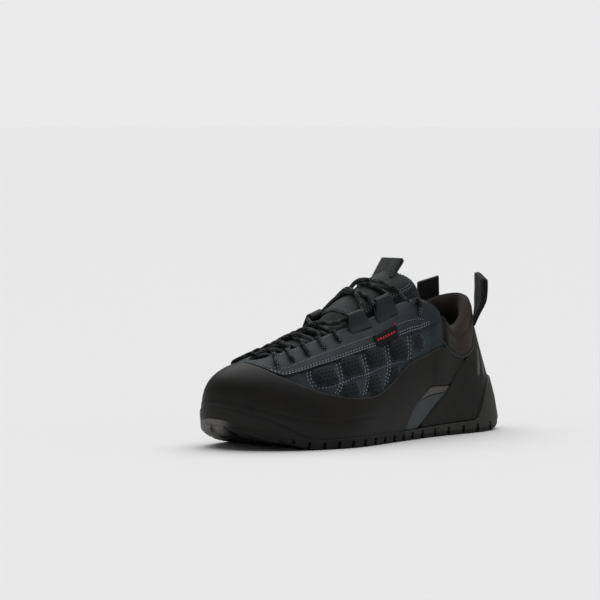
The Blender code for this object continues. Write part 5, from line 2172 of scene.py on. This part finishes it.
@dataclass
class LaceLoop:
    """A wide folded strap that carries the lace at one side of the throat.

    Attributes:
        row: The row that it stands in.
        side: Its side of the shoe.
        tongue: The tongue that it reaches over.
        width: Width of the strap at its middle.
        thick: Thickness of one leg.
        fold: Radius of the fold that holds the lace.
    """

    row: LoopRow
    side: Side
    tongue: Tongue
    width: float = 16.0
    thick: float = 1.1
    fold: float = 2.5

    def frame(self) -> tuple[np.ndarray, np.ndarray, np.ndarray, np.ndarray]:
        """Its foot, its bend at the throat, the middle of its fold and the direction of its width.

        Returns:
            The three points and the direction.
        """
        u = self.side.u(self.row.u)
        base = FORM.at(u, 0.895, EYESTAY_OUT - 0.5)
        tip = FORM.at(u, 0.955, EYESTAY_OUT + 1.5)
        across = 0.42 if self.side is Side.INNER else -0.42
        over = self.tongue.at(self.row.u, across, PANEL_GAP + PANEL_THICK + 4.2)
        edge = unit(FORM.surface(u + 0.2, 1.0) - FORM.surface(u - 0.2, 1.0))
        return base, tip, over, edge

    def mouth(self, rearward: bool) -> np.ndarray:
        """Where the lace leaves the fold on one side.

        Args:
            rearward: Whether it is the side towards the heel.

        Returns:
            The point.
        """
        _, _, over, edge = self.frame()
        back = edge if edge[0] < 0 else -edge
        return over + back * (self.width / 2 + 0.2) * (1 if rearward else -1)

    def build(self) -> None:
        """The strap: over the throat's edge, round the lace and back under itself."""
        base, tip, over, edge = self.frame()
        way = over - tip
        up = unit(way - edge * (way @ edge))
        out = unit(np.cross(edge, up))
        out = -out if out[2] < 0 else out
        legs = (self.thick + 0.1) / 2
        turns = np.radians(np.arange(180, -1, -30))
        lower = [base - out * legs, tip - out * legs]
        bend = [over + self.fold * (math.cos(t) * out + math.sin(t) * up) for t in turns]
        path = np.array(lower + bend + [tip + out * legs, base + out * legs])
        path = resampled(catmull(path, 6), 0.9)
        climb = np.abs(np.linspace(-1, 1, len(path)))
        back = edge if edge[0] < 0 else -edge
        path = path + back * (2.4 * climb**2)[:, None]
        width = self.width * (0.84 + 0.5 * smooth(climb * 1.1))
        name = f"lace_loop_{self.row.name}_{self.side.value}"
        build = Build(f"{name}_leather", [LOOP_LEATHER])
        build.ring_loft(strap(path, edge, width, self.thick))
        place(build.object(), "lacing_strip", name)


@dataclass
class Lace:
    """The braided lace: up through each punched eyelet, over the tongue and under the far edge.

    Attributes:
        tongue: The tongue that it lies over.
        loops: The lace loops, by row name and side.
        radius: Radius of the cord.
    """

    tongue: Tongue
    loops: dict[tuple[str, Side], LaceLoop]
    radius: float = LACE_RADIUS

    def from_hole(self, hole: Hole, side: Side) -> list[np.ndarray]:
        """Points that bring the lace up out of a hole and lay it towards the throat.

        Args:
            hole: The punched eyelet.
            side: Which side of the shoe.

        Returns:
            Points from under the strip to the throat's edge.
        """
        u = side.u(hole.u)
        normal = FORM.normal(u, hole.h)
        step = (1.0 - hole.h) * 0.5
        seat = EYESTAY_OUT + self.radius * 0.75
        hole_at = FORM.at(u, hole.h, EYESTAY_OUT)
        return [hole_at - normal * 2.6, hole_at - normal * 0.2 + UP * 0.1,
                FORM.at(u, hole.h + 0.02, seat - 0.1),
                FORM.at(u, hole.h + step, seat), FORM.at(u, 0.99, seat + 0.1)]

    @staticmethod
    def under_edge(u: float, side: Side) -> list[np.ndarray]:
        """Points that take the lace down between the tongue and the throat's edge."""
        return [FORM.at(side.u(u), 1.0, -0.2) + UP * 0.4, FORM.at(side.u(u), 0.96, -WALL + 0.6)]

    def over(self, u: float, across: float, lift: float) -> np.ndarray:
        """A point of a cord that rests on the tongue, or on its pad, at a crest station."""
        pad = float(smooth(np.array((7.15 - u) / 0.2)) * smooth(np.array((0.6 - abs(across)) / 0.12)))
        return self.tongue.at(u, across, self.radius + 0.1 + (PANEL_GAP + PANEL_THICK) * pad + lift)

    def across(self, places: Sequence[tuple[float, float, float]], side: Side) -> list[np.ndarray]:
        """Points over the tongue at (crest station, share across from the lace's own side, lift)."""
        sign = -1.0 if side is Side.OUTER else 1.0
        return [self.over(u, sign * share, lift) for u, share, lift in places]

    def paths(self) -> list[np.ndarray]:
        """Centre lines of every stretch that shows.

        Returns:
            The points of each stretch, in order.
        """
        holes = EYELETS[:5]
        first, other = (self.from_hole(holes[0], side) for side in Side)
        u = holes[0].u
        bar = self.across(((u, 0.5, 0.2), (u, 0.0, 0.3), (u, -0.5, 0.2)), Side.OUTER)
        found = [np.array(first + bar + other[::-1])]
        for k, (near, far) in enumerate(zip(holes, holes[1:])):
            for side in Side:
                lift = 2.3 if (side is Side.OUTER) == (k % 2 == 0) else -0.2
                span = near.u - far.u
                places = [(far.u + span * (0.5 - share / 2), share, lift * (1 - abs(share) * 1.1))
                          for share in (0.7, 0.35, 0.0, -0.35, -0.7)]
                path = self.from_hole(far, side) + self.across(places, side)
                path += self.under_edge(near.u - 0.05, side.other())
                found.append(np.array(path))
        last, top = EYELETS[4:]
        for side in Side:
            other_side = side.other()
            lift = 2.6 if side is Side.INNER else 0.2
            front, rear = self.loops["front", other_side], self.loops["rear", side]
            path = self.from_hole(last, side)
            path += self.across(((7.78, 0.62, 0.0), (7.72, 0.3, lift / 2), (7.6, 0.0, lift),
                                 (7.45, -0.26, lift / 2)), side)
            path += [front.mouth(False), front.frame()[2], front.mouth(True)]
            path += self.across(((6.42, -0.24, lift / 2), (6.25, 0.0, lift), (6.18, 0.24, lift / 2)), side)
            found.append(np.array(path + [rear.mouth(False), rear.frame()[2], rear.mouth(True)]))
            path = [rear.mouth(False), rear.frame()[2], rear.mouth(True)]
            path += self.across(((5.80, 0.2, lift / 2), (5.78, 0.0, lift), (5.62, -0.22, lift / 2),
                                 (5.44, -0.42, 0.4), (5.27, -0.62, 2.4), (5.12, -0.82, 2.6)), side)
            path += [FORM.at(other_side.u(top.u + 0.12), 0.97, EYESTAY_OUT + self.radius + 0.6)]
            end = self.from_hole(top, other_side)[::-1]
            found.append(np.array(path + end[1:]))
        return found

    def build(self) -> None:
        """The cord along every stretch."""
        build = Build("lace_cord", [LACE_BRAID])
        for path in self.paths():
            fine = resampled(catmull(path, 8), 1.1)
            for _ in range(2):
                fine[1:-1] = fine[1:-1] * 0.5 + (fine[:-2] + fine[2:]) * 0.25
            rings = tube(fine, self.radius, 12)
            first = len(build.maps)
            build.ring_loft(rings)
            uv = build.maps[first]
            uv[..., 1] = uv[..., 1] / (2 * np.pi * self.radius) * MAP_MM
        place(build.object(), "webbing", "lace")


@dataclass
class Label:
    """The small woven label on the outer side: black, with plain red dashes.

    Attributes:
        dashes: Number of dashes.
    """

    dashes: int = 7

    @staticmethod
    def build() -> None:
        """The label's cloth."""
        sheet = Overlay(level(0.705), level(0.800),
                        EYESTAY_OUT + 0.15, EYESTAY_OUT + 1.0, 0.35, 1.0)
        build = Build("label_cloth", [LABEL_CLOTH])
        build.ring_loft(sheet.rings(sheet.spread(5.74, 6.58), 10))
        place(build.object(), "webbing", "label")

    def marks(self) -> None:
        """The row of dashes and the small dot above its end."""
        build = Build("label_dashes", [LABEL_RED])
        for k in range(self.dashes):
            start = 5.83 + 0.1 * k
            sheet = Overlay(level(0.741), level(0.761),
                            EYESTAY_OUT + 0.8, EYESTAY_OUT + 1.16, 0.15, 0.5)
            build.ring_loft(sheet.rings(np.linspace(start, start + 0.062, 4), 3))
        dot = Overlay(level(0.801), level(0.814),
                      EYESTAY_OUT + 0.1, EYESTAY_OUT + 0.9, 0.15, 0.5)
        build.ring_loft(dot.rings(np.linspace(5.74, 5.79, 4), 3))
        place(build.object(), "webbing")


@dataclass
class Insole:
    """The loose footbed, cupped at its rim.

    Attributes:
        low_h: Height of its underside on the form.
        top_h: Height of its rim.
    """

    low_h: float = 0.106
    top_h: float = 0.150

    def build(self) -> None:
        """The footbed's block with a dished upper face."""
        half = FORM.stations(0.12, TOE - 0.12, 0.15, 3.0)
        rings = []
        share = np.linspace(0, 1, 17)[:, None]
        for u in half:
            ends = [FORM.at(v, self.top_h, -WALL - 0.6) for v in (u, ROUND - u)]
            feet = [FORM.at(v, self.low_h, -WALL - 0.6) for v in (u, ROUND - u)]
            top = ends[0] + (ends[1] - ends[0]) * share
            width = np.linalg.norm(ends[1] - ends[0])
            dish = min(5.0, width * 0.12) * np.sin(share * np.pi) ** 0.6
            under = feet[1] + (feet[0] - feet[1]) * share
            rings.append(np.concatenate([top - UP * dish, under]))
        build = Build("insole_footbed", [FOOTBED_CLOTH])
        build.ring_loft(np.array(rings))
        piece = place(build.object(), "footbed", "insole")


@dataclass
class Outsole:
    """The rubber outsole: lugs, toe dots, slotted edge strip and heel plate.

    Attributes:
        slots: Middles of the slots between the edge lugs.
        slot_half: Half of a slot's width, as a change of u.
        slot_wall: Width of a slot's slanting wall.
        slot_in: Depth of a slot in the edge strip.
        dot_rows: Stations of the toe's rows of dots.
        across: Places of the lug columns' sides, from side to side.
        lug_columns: Numbers of the gaps in across that hold lugs.
        lug_full: Depth of the tread behind the toe.
        lug_toe: Its depth at the toe's end.
        thin_from: Where the tread starts to thin out, in millimetres from the heel.
        thin_run: Length over which it does.
        plate_to: Station where the heel plate's rubber ends on each side.
        bumper_from: Station where the rand's rubber runs down over the lip.
        dot_from: Station where the dots take the lugs' place.
        dot_depth: Depth of a dot.
        draft: Share by which a lug's walls draw in towards its foot.
    """

    slots: Sequence[float] = (
        0.66, 1.3, 1.9, 2.5, 3.1, 3.75, 4.35, 4.92, 5.41, 5.85, 6.3, 6.75, 7.2, 7.65, 8.1, 8.55,
        9.0, 9.45, 9.9,
    )
    slot_half: float = 0.042
    slot_wall: float = 0.010
    slot_in: float = 2.4
    dot_rows: Sequence[float] = (10.2, 10.5, 10.8, 11.1)
    across: Sequence[float] = (0.0, 0.17, 0.21, 0.465, 0.535, 0.79, 0.83, 1.0)
    lug_columns: Sequence[int] = (0, 2, 4, 6)
    lug_full: float = 3.6
    lug_toe: float = 0.3
    thin_from: float = 212.0
    thin_run: float = 42.0
    plate_to: float = 5.8
    bumper_from: float = 8.8
    dot_from: float = 10.05
    dot_depth: float = 2.2
    draft: float = 0.05

    def lug_depth(self, x: np.ndarray) -> np.ndarray:
        """Depth of the tread, which thins out under the toe."""
        return self.lug_full + (self.lug_toe - self.lug_full) * smooth((x - self.thin_from) / self.thin_run)

    def columns(self) -> np.ndarray:
        """Stations of the sections: slots, fillers between them and the toe.

        Returns:
            The stations, from the heel to the toe.
        """
        wall = self.slot_half + self.slot_wall
        sides = (-wall, -self.slot_half, self.slot_half, wall)
        fixed = sorted([0.0] + [s + d for s in self.slots for d in sides]
                       + [self.dot_from, *self.dot_rows, 11.5, 11.8, TOE])
        filled = [fixed[0]]
        for a, b in zip(fixed, fixed[1:]):
            parts = 1 if b - a < 0.1 else max(1, int(round((b - a) / 0.16)))
            filled += list(np.linspace(a, b, parts + 1)[1:])
        return np.array(filled)

    def rings(self, around: np.ndarray) -> Grid:
        """Rings of the sole's side, from the tread's level up over the lip and back inside.

        Args:
            around: Stations round the sole.

        Returns:
            Points as (rings, stations, 3).
        """
        foot = FORM.surface(around, 0.0)
        out = FORM.outward(around)
        at_u = folded(around)
        edge = EDGE_OUT + (HEEL_PLATE_OUT - EDGE_OUT) * smooth(1 - at_u / 3.2)[:, None]
        edge = edge + (TOE_EDGE_OUT - edge) * np.clip((at_u - 9.6) / 1.2, 0, 1)[:, None]
        climb = 0.013 * smooth((at_u - 5.6) / 0.8) + 0.085 * smooth((at_u - 9.2) / 1.4)
        lip = np.maximum(along(HEEL_PLATE, around), 0.003 + climb)
        level = FORM.edge_top(foot[:, 0])
        tread = FORM.ground(foot[:, 0]) + self.lug_depth(foot[:, 0])

        def ring(distance: np.ndarray, height: np.ndarray) -> np.ndarray:
            """Points at a distance outwards from the wall's foot, at a height over the floor.

            Args:
                distance: Distances in millimetres.
                height: Heights in millimetres.

            Returns:
                One point for each station.
            """
            points = foot + out * distance
            points[:, 2] = height
            return points

        gap = np.min([np.abs(at_u - s) for s in self.slots], axis=0)[:, None]
        cut = np.where(gap < self.slot_half + 1e-4, self.slot_in, 0.0)
        low = ring(edge - 0.3 - cut, tread)
        low[:, 2] = FORM.ground(low[:, 0]) + self.lug_depth(low[:, 0])
        step = level - low[:, 2]
        rise = FORM.surface(around, lip)
        rise_low = FORM.surface(around, lip * 0.5)
        inner = foot + out * LIP_IN
        inner[:, 2] = level
        return np.stack([
            low, ring(edge - 0.05 - cut, low[:, 2] + step * 0.28),
            ring(edge - cut, low[:, 2] + step * 0.55), ring(edge, low[:, 2] + step * 0.62),
            ring(edge, level - 0.5 * np.minimum(step, 1.0)), rise_low + out * edge,
            rise + out * (edge - 0.3) - UP * 0.35, rise + out * (LIP_IN + (edge - LIP_IN) * 0.45),
            rise + out * LIP_IN, inner,
        ])

    def build(self) -> None:
        """The whole moulding."""
        stations = self.columns()
        around = np.concatenate([stations, ROUND - stations[-2:0:-1]])
        rings = self.rings(around)
        total = len(around)
        build = Build("outsole_rubber", [SOLE_RUBBER, PLATE_RUBBER, RAND_RUBBER])
        r, k = (a.reshape(-1) for a in np.mgrid[0:len(rings) - 1, 0:total])
        a, b = r * total + k, r * total + (k + 1) % total
        at_u = folded(around)[k]
        worn = np.where(at_u < self.plate_to, 1, np.where((r >= 2) & (at_u > self.bumper_from), 2, 0))
        build.add(rings, np.stack([a, b, b + total, a + total], -1), None, worn)
        self.close_top(build, len(stations), total, (len(rings) - 1) * total)
        self.lay_tread(build, rings.reshape(-1, 3), stations, total)
        place(build.object(sharp=38), "tread", "outsole")

    @staticmethod
    def close_top(build: Build, count: int, total: int, shift: int) -> None:
        """Closes the top, which the midsole covers.

        Args:
            build: The moulding.
            count: Stations from the heel to the toe.
            total: Points of one ring.
            shift: Number of the top ring's first point.
        """
        quads = [[row, row + 1, total - row - 1, total - row] for row in range(1, count - 2)]
        build.join(np.array(quads) + shift)
        build.join(np.array([[0, 1, total - 1], [count - 1, count, count - 2]]) + shift)

    def lay_tread(self, build: Build, points: np.ndarray, stations: np.ndarray, total: int) -> None:
        """The underside: floor of the tread, lugs with softened feet, and dots under the toe.

        Args:
            build: The moulding.
            points: Points of the sole's side.
            stations: Stations from the heel to the toe.
            total: Points of one ring.
        """
        count = len(stations)
        extra: list[np.ndarray] = []
        faces: dict[int, list] = {3: [], 4: []}
        bare: list[list[int]] = []

        def new(point: np.ndarray) -> int:
            """Adds a point and gives its number."""
            extra.append(np.asarray(point, float))
            return build.count + len(extra) - 1

        def where(index: int) -> np.ndarray:
            """The point with a number."""
            return points[index] if index < len(points) else extra[index - build.count]

        index = {}
        for row in range(1, count - 1):
            outer, inner = points[row], points[total - row]
            index[row] = [row]
            for share in self.across[1:-1]:
                p = outer + (inner - outer) * share
                level = FORM.ground(p[0]) + self.lug_depth(p[0])
                index[row].append(new(np.array([p[0], p[1], level])))
            index[row].append(total - row)
        wall = self.slot_half + self.slot_wall
        slots = [(s - wall, s + wall) for s in self.slots]
        lugs: dict[tuple[float, int], list] = {}
        for k in range(len(self.across) - 1):
            faces[3].append([0, index[1][k], index[1][k + 1]])
            faces[3].append([count - 1, index[count - 2][k + 1], index[count - 2][k]])
            for row in range(1, count - 2):
                cell = [index[row][k], index[row + 1][k], index[row + 1][k + 1], index[row][k + 1]]
                middle = (stations[row] + stations[row + 1]) / 2
                in_slot = any(a < middle < b for a, b in slots)
                if middle > self.dot_rows[-1]:
                    bare.append(cell)
                elif k not in self.lug_columns or in_slot:
                    faces[4].append(cell)
                else:
                    starts = (0.0, *self.slots, self.dot_from, *self.dot_rows)
                    lugs.setdefault((max(s for s in starts if s < middle), k), []).append(cell)
        for (start, _), group in lugs.items():
            lay = self.add_dot if start >= self.dot_from else self.add_lug
            lay(group, where, new, faces)
        build.points.append(np.array(extra))
        build.count += len(extra)
        build.join(bare)
        for rows in faces.values():
            build.join(rows)

    def add_lug(self, group: list[list[int]], where: PointAt, new: NewPoint, faces: dict) -> None:
        """One lug under a run of cells: drafted walls, a softened edge and a flat foot.

        Args:
            group: The cells, as rows of point numbers.
            where: Gives the point with a number.
            new: Adds a point and gives its number.
            faces: The tread's faces, by size, which the lug's are added to.
        """
        used = sorted({v for cell in group for v in cell})
        centre = np.mean([where(v) for v in used], axis=0)
        levels = []
        for draft, height in ((self.draft, 0.45), (self.draft + 0.035, 0.0)):
            copy = {}
            for v in used:
                p = where(v) + (centre - where(v)) * draft
                copy[v] = new(np.array([p[0], p[1], FORM.ground(p[0]) + height]))
            levels.append(copy)
        faces[4] += [[levels[1][v] for v in cell] for cell in group]
        edges = {(a, b) for cell in group for a, b in zip(cell, cell[1:] + cell[:1])}
        for a, b in edges:
            if (b, a) in edges:
                continue
            for upper, lower in (({a: a, b: b}, levels[0]), (levels[0], levels[1])):
                faces[4].append([upper[a], upper[b], lower[b], lower[a]])

    def add_dot(self, group: list[list[int]], where: PointAt, new: NewPoint, faces: dict) -> None:
        """One oval dot under the cells between two rows, or the bare cells at the rim.

        Args:
            group: The cells, as rows of point numbers.
            where: Gives the point with a number.
            new: Adds a point and gives its number.
            faces: The tread's faces, by size, which the dot's are added to.
        """
        if len(group) != 2 or {group[0][1], group[0][2]} != {group[1][0], group[1][3]}:
            faces[4] += group
            return
        first, second = group
        outline = [first[0], first[1], second[1], second[2], second[3], first[3]]
        corners = [where(v) for v in outline]
        centre = np.mean(corners, axis=0)
        loops = [outline] + [
            [new(centre + (p - centre) * size - UP * depth) for p in corners]
            for size, depth in ((0.84, 0.0), (0.78, self.dot_depth * 0.75), (0.6, self.dot_depth))
        ]
        for upper, lower in zip(loops, loops[1:]):
            faces[4] += [[upper[k - 1], upper[k], lower[k], lower[k - 1]] for k in (1, 2, 3, 4, 5, 0)]
        foot = loops[-1]
        faces[4] += [foot[:4], [foot[0], *foot[3:]]]


@dataclass
class Studio:
    """The plain pale set: floor, soft lights and the camera at the photograph's angle.

    Attributes:
        azimuth: Angle of the camera from the toe's direction towards the outer side.
        elevation: Its angle above the floor.
        distance: Its distance from the point it looks at, in metres.
        target: That point, in metres.
        lens: Focal length for a sensor of 36 mm.
        shift: The lens's shift, as shares of the frame.
        room: Brightness of the room round the set.
        overhead: Strength of the overhead light.
        softness: Its width in degrees.
        light_way: The way its light travels.
    """

    azimuth: float = 43.0
    elevation: float = 4.15
    distance: float = 2.5
    target: tuple[float, float, float] = (0.01273, -0.00066, 0.055)
    lens: float = 204.0
    shift: tuple[float, float] = (-0.0783, 0.1072)
    room: float = 0.15
    overhead: float = 2.5
    softness: float = 90.0
    light_way: tuple[float, float, float] = (0.24, 0.2, -1.0)

    def camera(self) -> None:
        """The camera, level and unrolled."""
        a, e = math.radians(self.azimuth), math.radians(self.elevation)
        back = Vector((math.cos(a) * math.cos(e), math.sin(a) * math.cos(e), math.sin(e)))
        data = bpy.data.cameras.new("photo camera")
        data.lens = self.lens
        data.sensor_width = 36.0
        data.shift_x, data.shift_y = self.shift
        data.clip_start, data.clip_end = 0.1, 200.0
        made = bpy.data.objects.new("photo camera", data)
        made.location = Vector(self.target) + back * self.distance
        made.rotation_mode = "QUATERNION"
        made.rotation_quaternion = (-back).to_track_quat("-Z", "Y")
        bpy.context.scene.collection.objects.link(made)
        bpy.context.scene.camera = made

    @staticmethod
    def floor() -> None:
        """A wide pale floor, level under the shoe."""
        build = Build("studio_sweep", [Finish("studio paper, matte", "#f4f4f4", "#f4f4f4", 0.95)])
        size = 60000.0
        points = np.array([[x, y, 0.0] for x in (-size, size) for y in (-size, size)]) + ORIGIN
        build.add(points, np.array([[0, 2, 3, 1]]))
        made = build.object()

    def lights(self) -> None:
        """A soft overhead sun in a dim pale room, with a plain grey backdrop behind."""
        world = bpy.data.worlds.new("pale studio")
        world.use_nodes = True
        tree = world.node_tree
        room = tree.nodes["Background"]
        room.inputs[0].default_value = linear("#ffffff")
        room.inputs[1].default_value = self.room
        seen = add(tree, "LightPath", {}).outputs["Is Camera Ray"]
        backdrop = add(tree, "Background", {0: linear("#eaeaea"), 1: 1.0})
        add(tree, "MixShader", {}, {0: seen, 1: room, 2: backdrop}, tree.nodes["World Output"].inputs[0])
        bpy.context.scene.world = world
        data = bpy.data.lights.new("overhead softbox", "SUN")
        data.energy = self.overhead
        data.angle = math.radians(self.softness)
        lamp = bpy.data.objects.new("overhead softbox", data)
        lamp.rotation_mode = "QUATERNION"
        lamp.rotation_quaternion = Vector(self.light_way).to_track_quat("-Z", "Y")
        bpy.context.scene.collection.objects.link(lamp)

    def build(self) -> None:
        """Sets the stage and the picture's plain tone curve."""
        bpy.context.scene.view_settings.view_transform = "Standard"
        self.camera()
        self.floor()
        self.lights()


def dress_midsole() -> None:
    """Gives the midsole's own solid its foam finish."""
    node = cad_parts["midsole"]
    node.data.materials.clear()
    node.data.materials.append(MIDSOLE_FOAM.material())
    LOG.info("midsole: the part's own solid, in moulded foam")


def main() -> None:
    """Builds the set and every piece."""
    logging.basicConfig(level=logging.INFO, format="%(message)s")
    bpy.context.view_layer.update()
    Studio().build()
    Outsole().build()
    dress_midsole()
    Insole().build()
    upper = QuiltedUpper()
    upper.build()
    upper.holes()
    upper.stitches()
    Rand().build()
    counter = Counter()
    counter.build()
    counter.bars()
    for side in Side:
        ArchBand().build(side)
    strip = LacingStrip()
    strip.build()
    strip.eyelets()
    strip.stitches()
    collar = Collar()
    collar.build()
    collar.binding()
    collar.facing()
    tongue = Tongue()
    tongue.build()
    tongue.panel()
    tongue.stitches()
    tongue.tab()
    for pull_loop in PULL_LOOPS:
        pull_loop.build()
    loops = {}
    for row in LOOP_ROWS:
        for side in Side:
            loops[row.name, side] = LaceLoop(row, side, tongue)
            loops[row.name, side].build()
    Lace(tongue, loops).build()
    label = Label()
    label.build()
    label.marks()


if __name__ == "__main__":
    main()
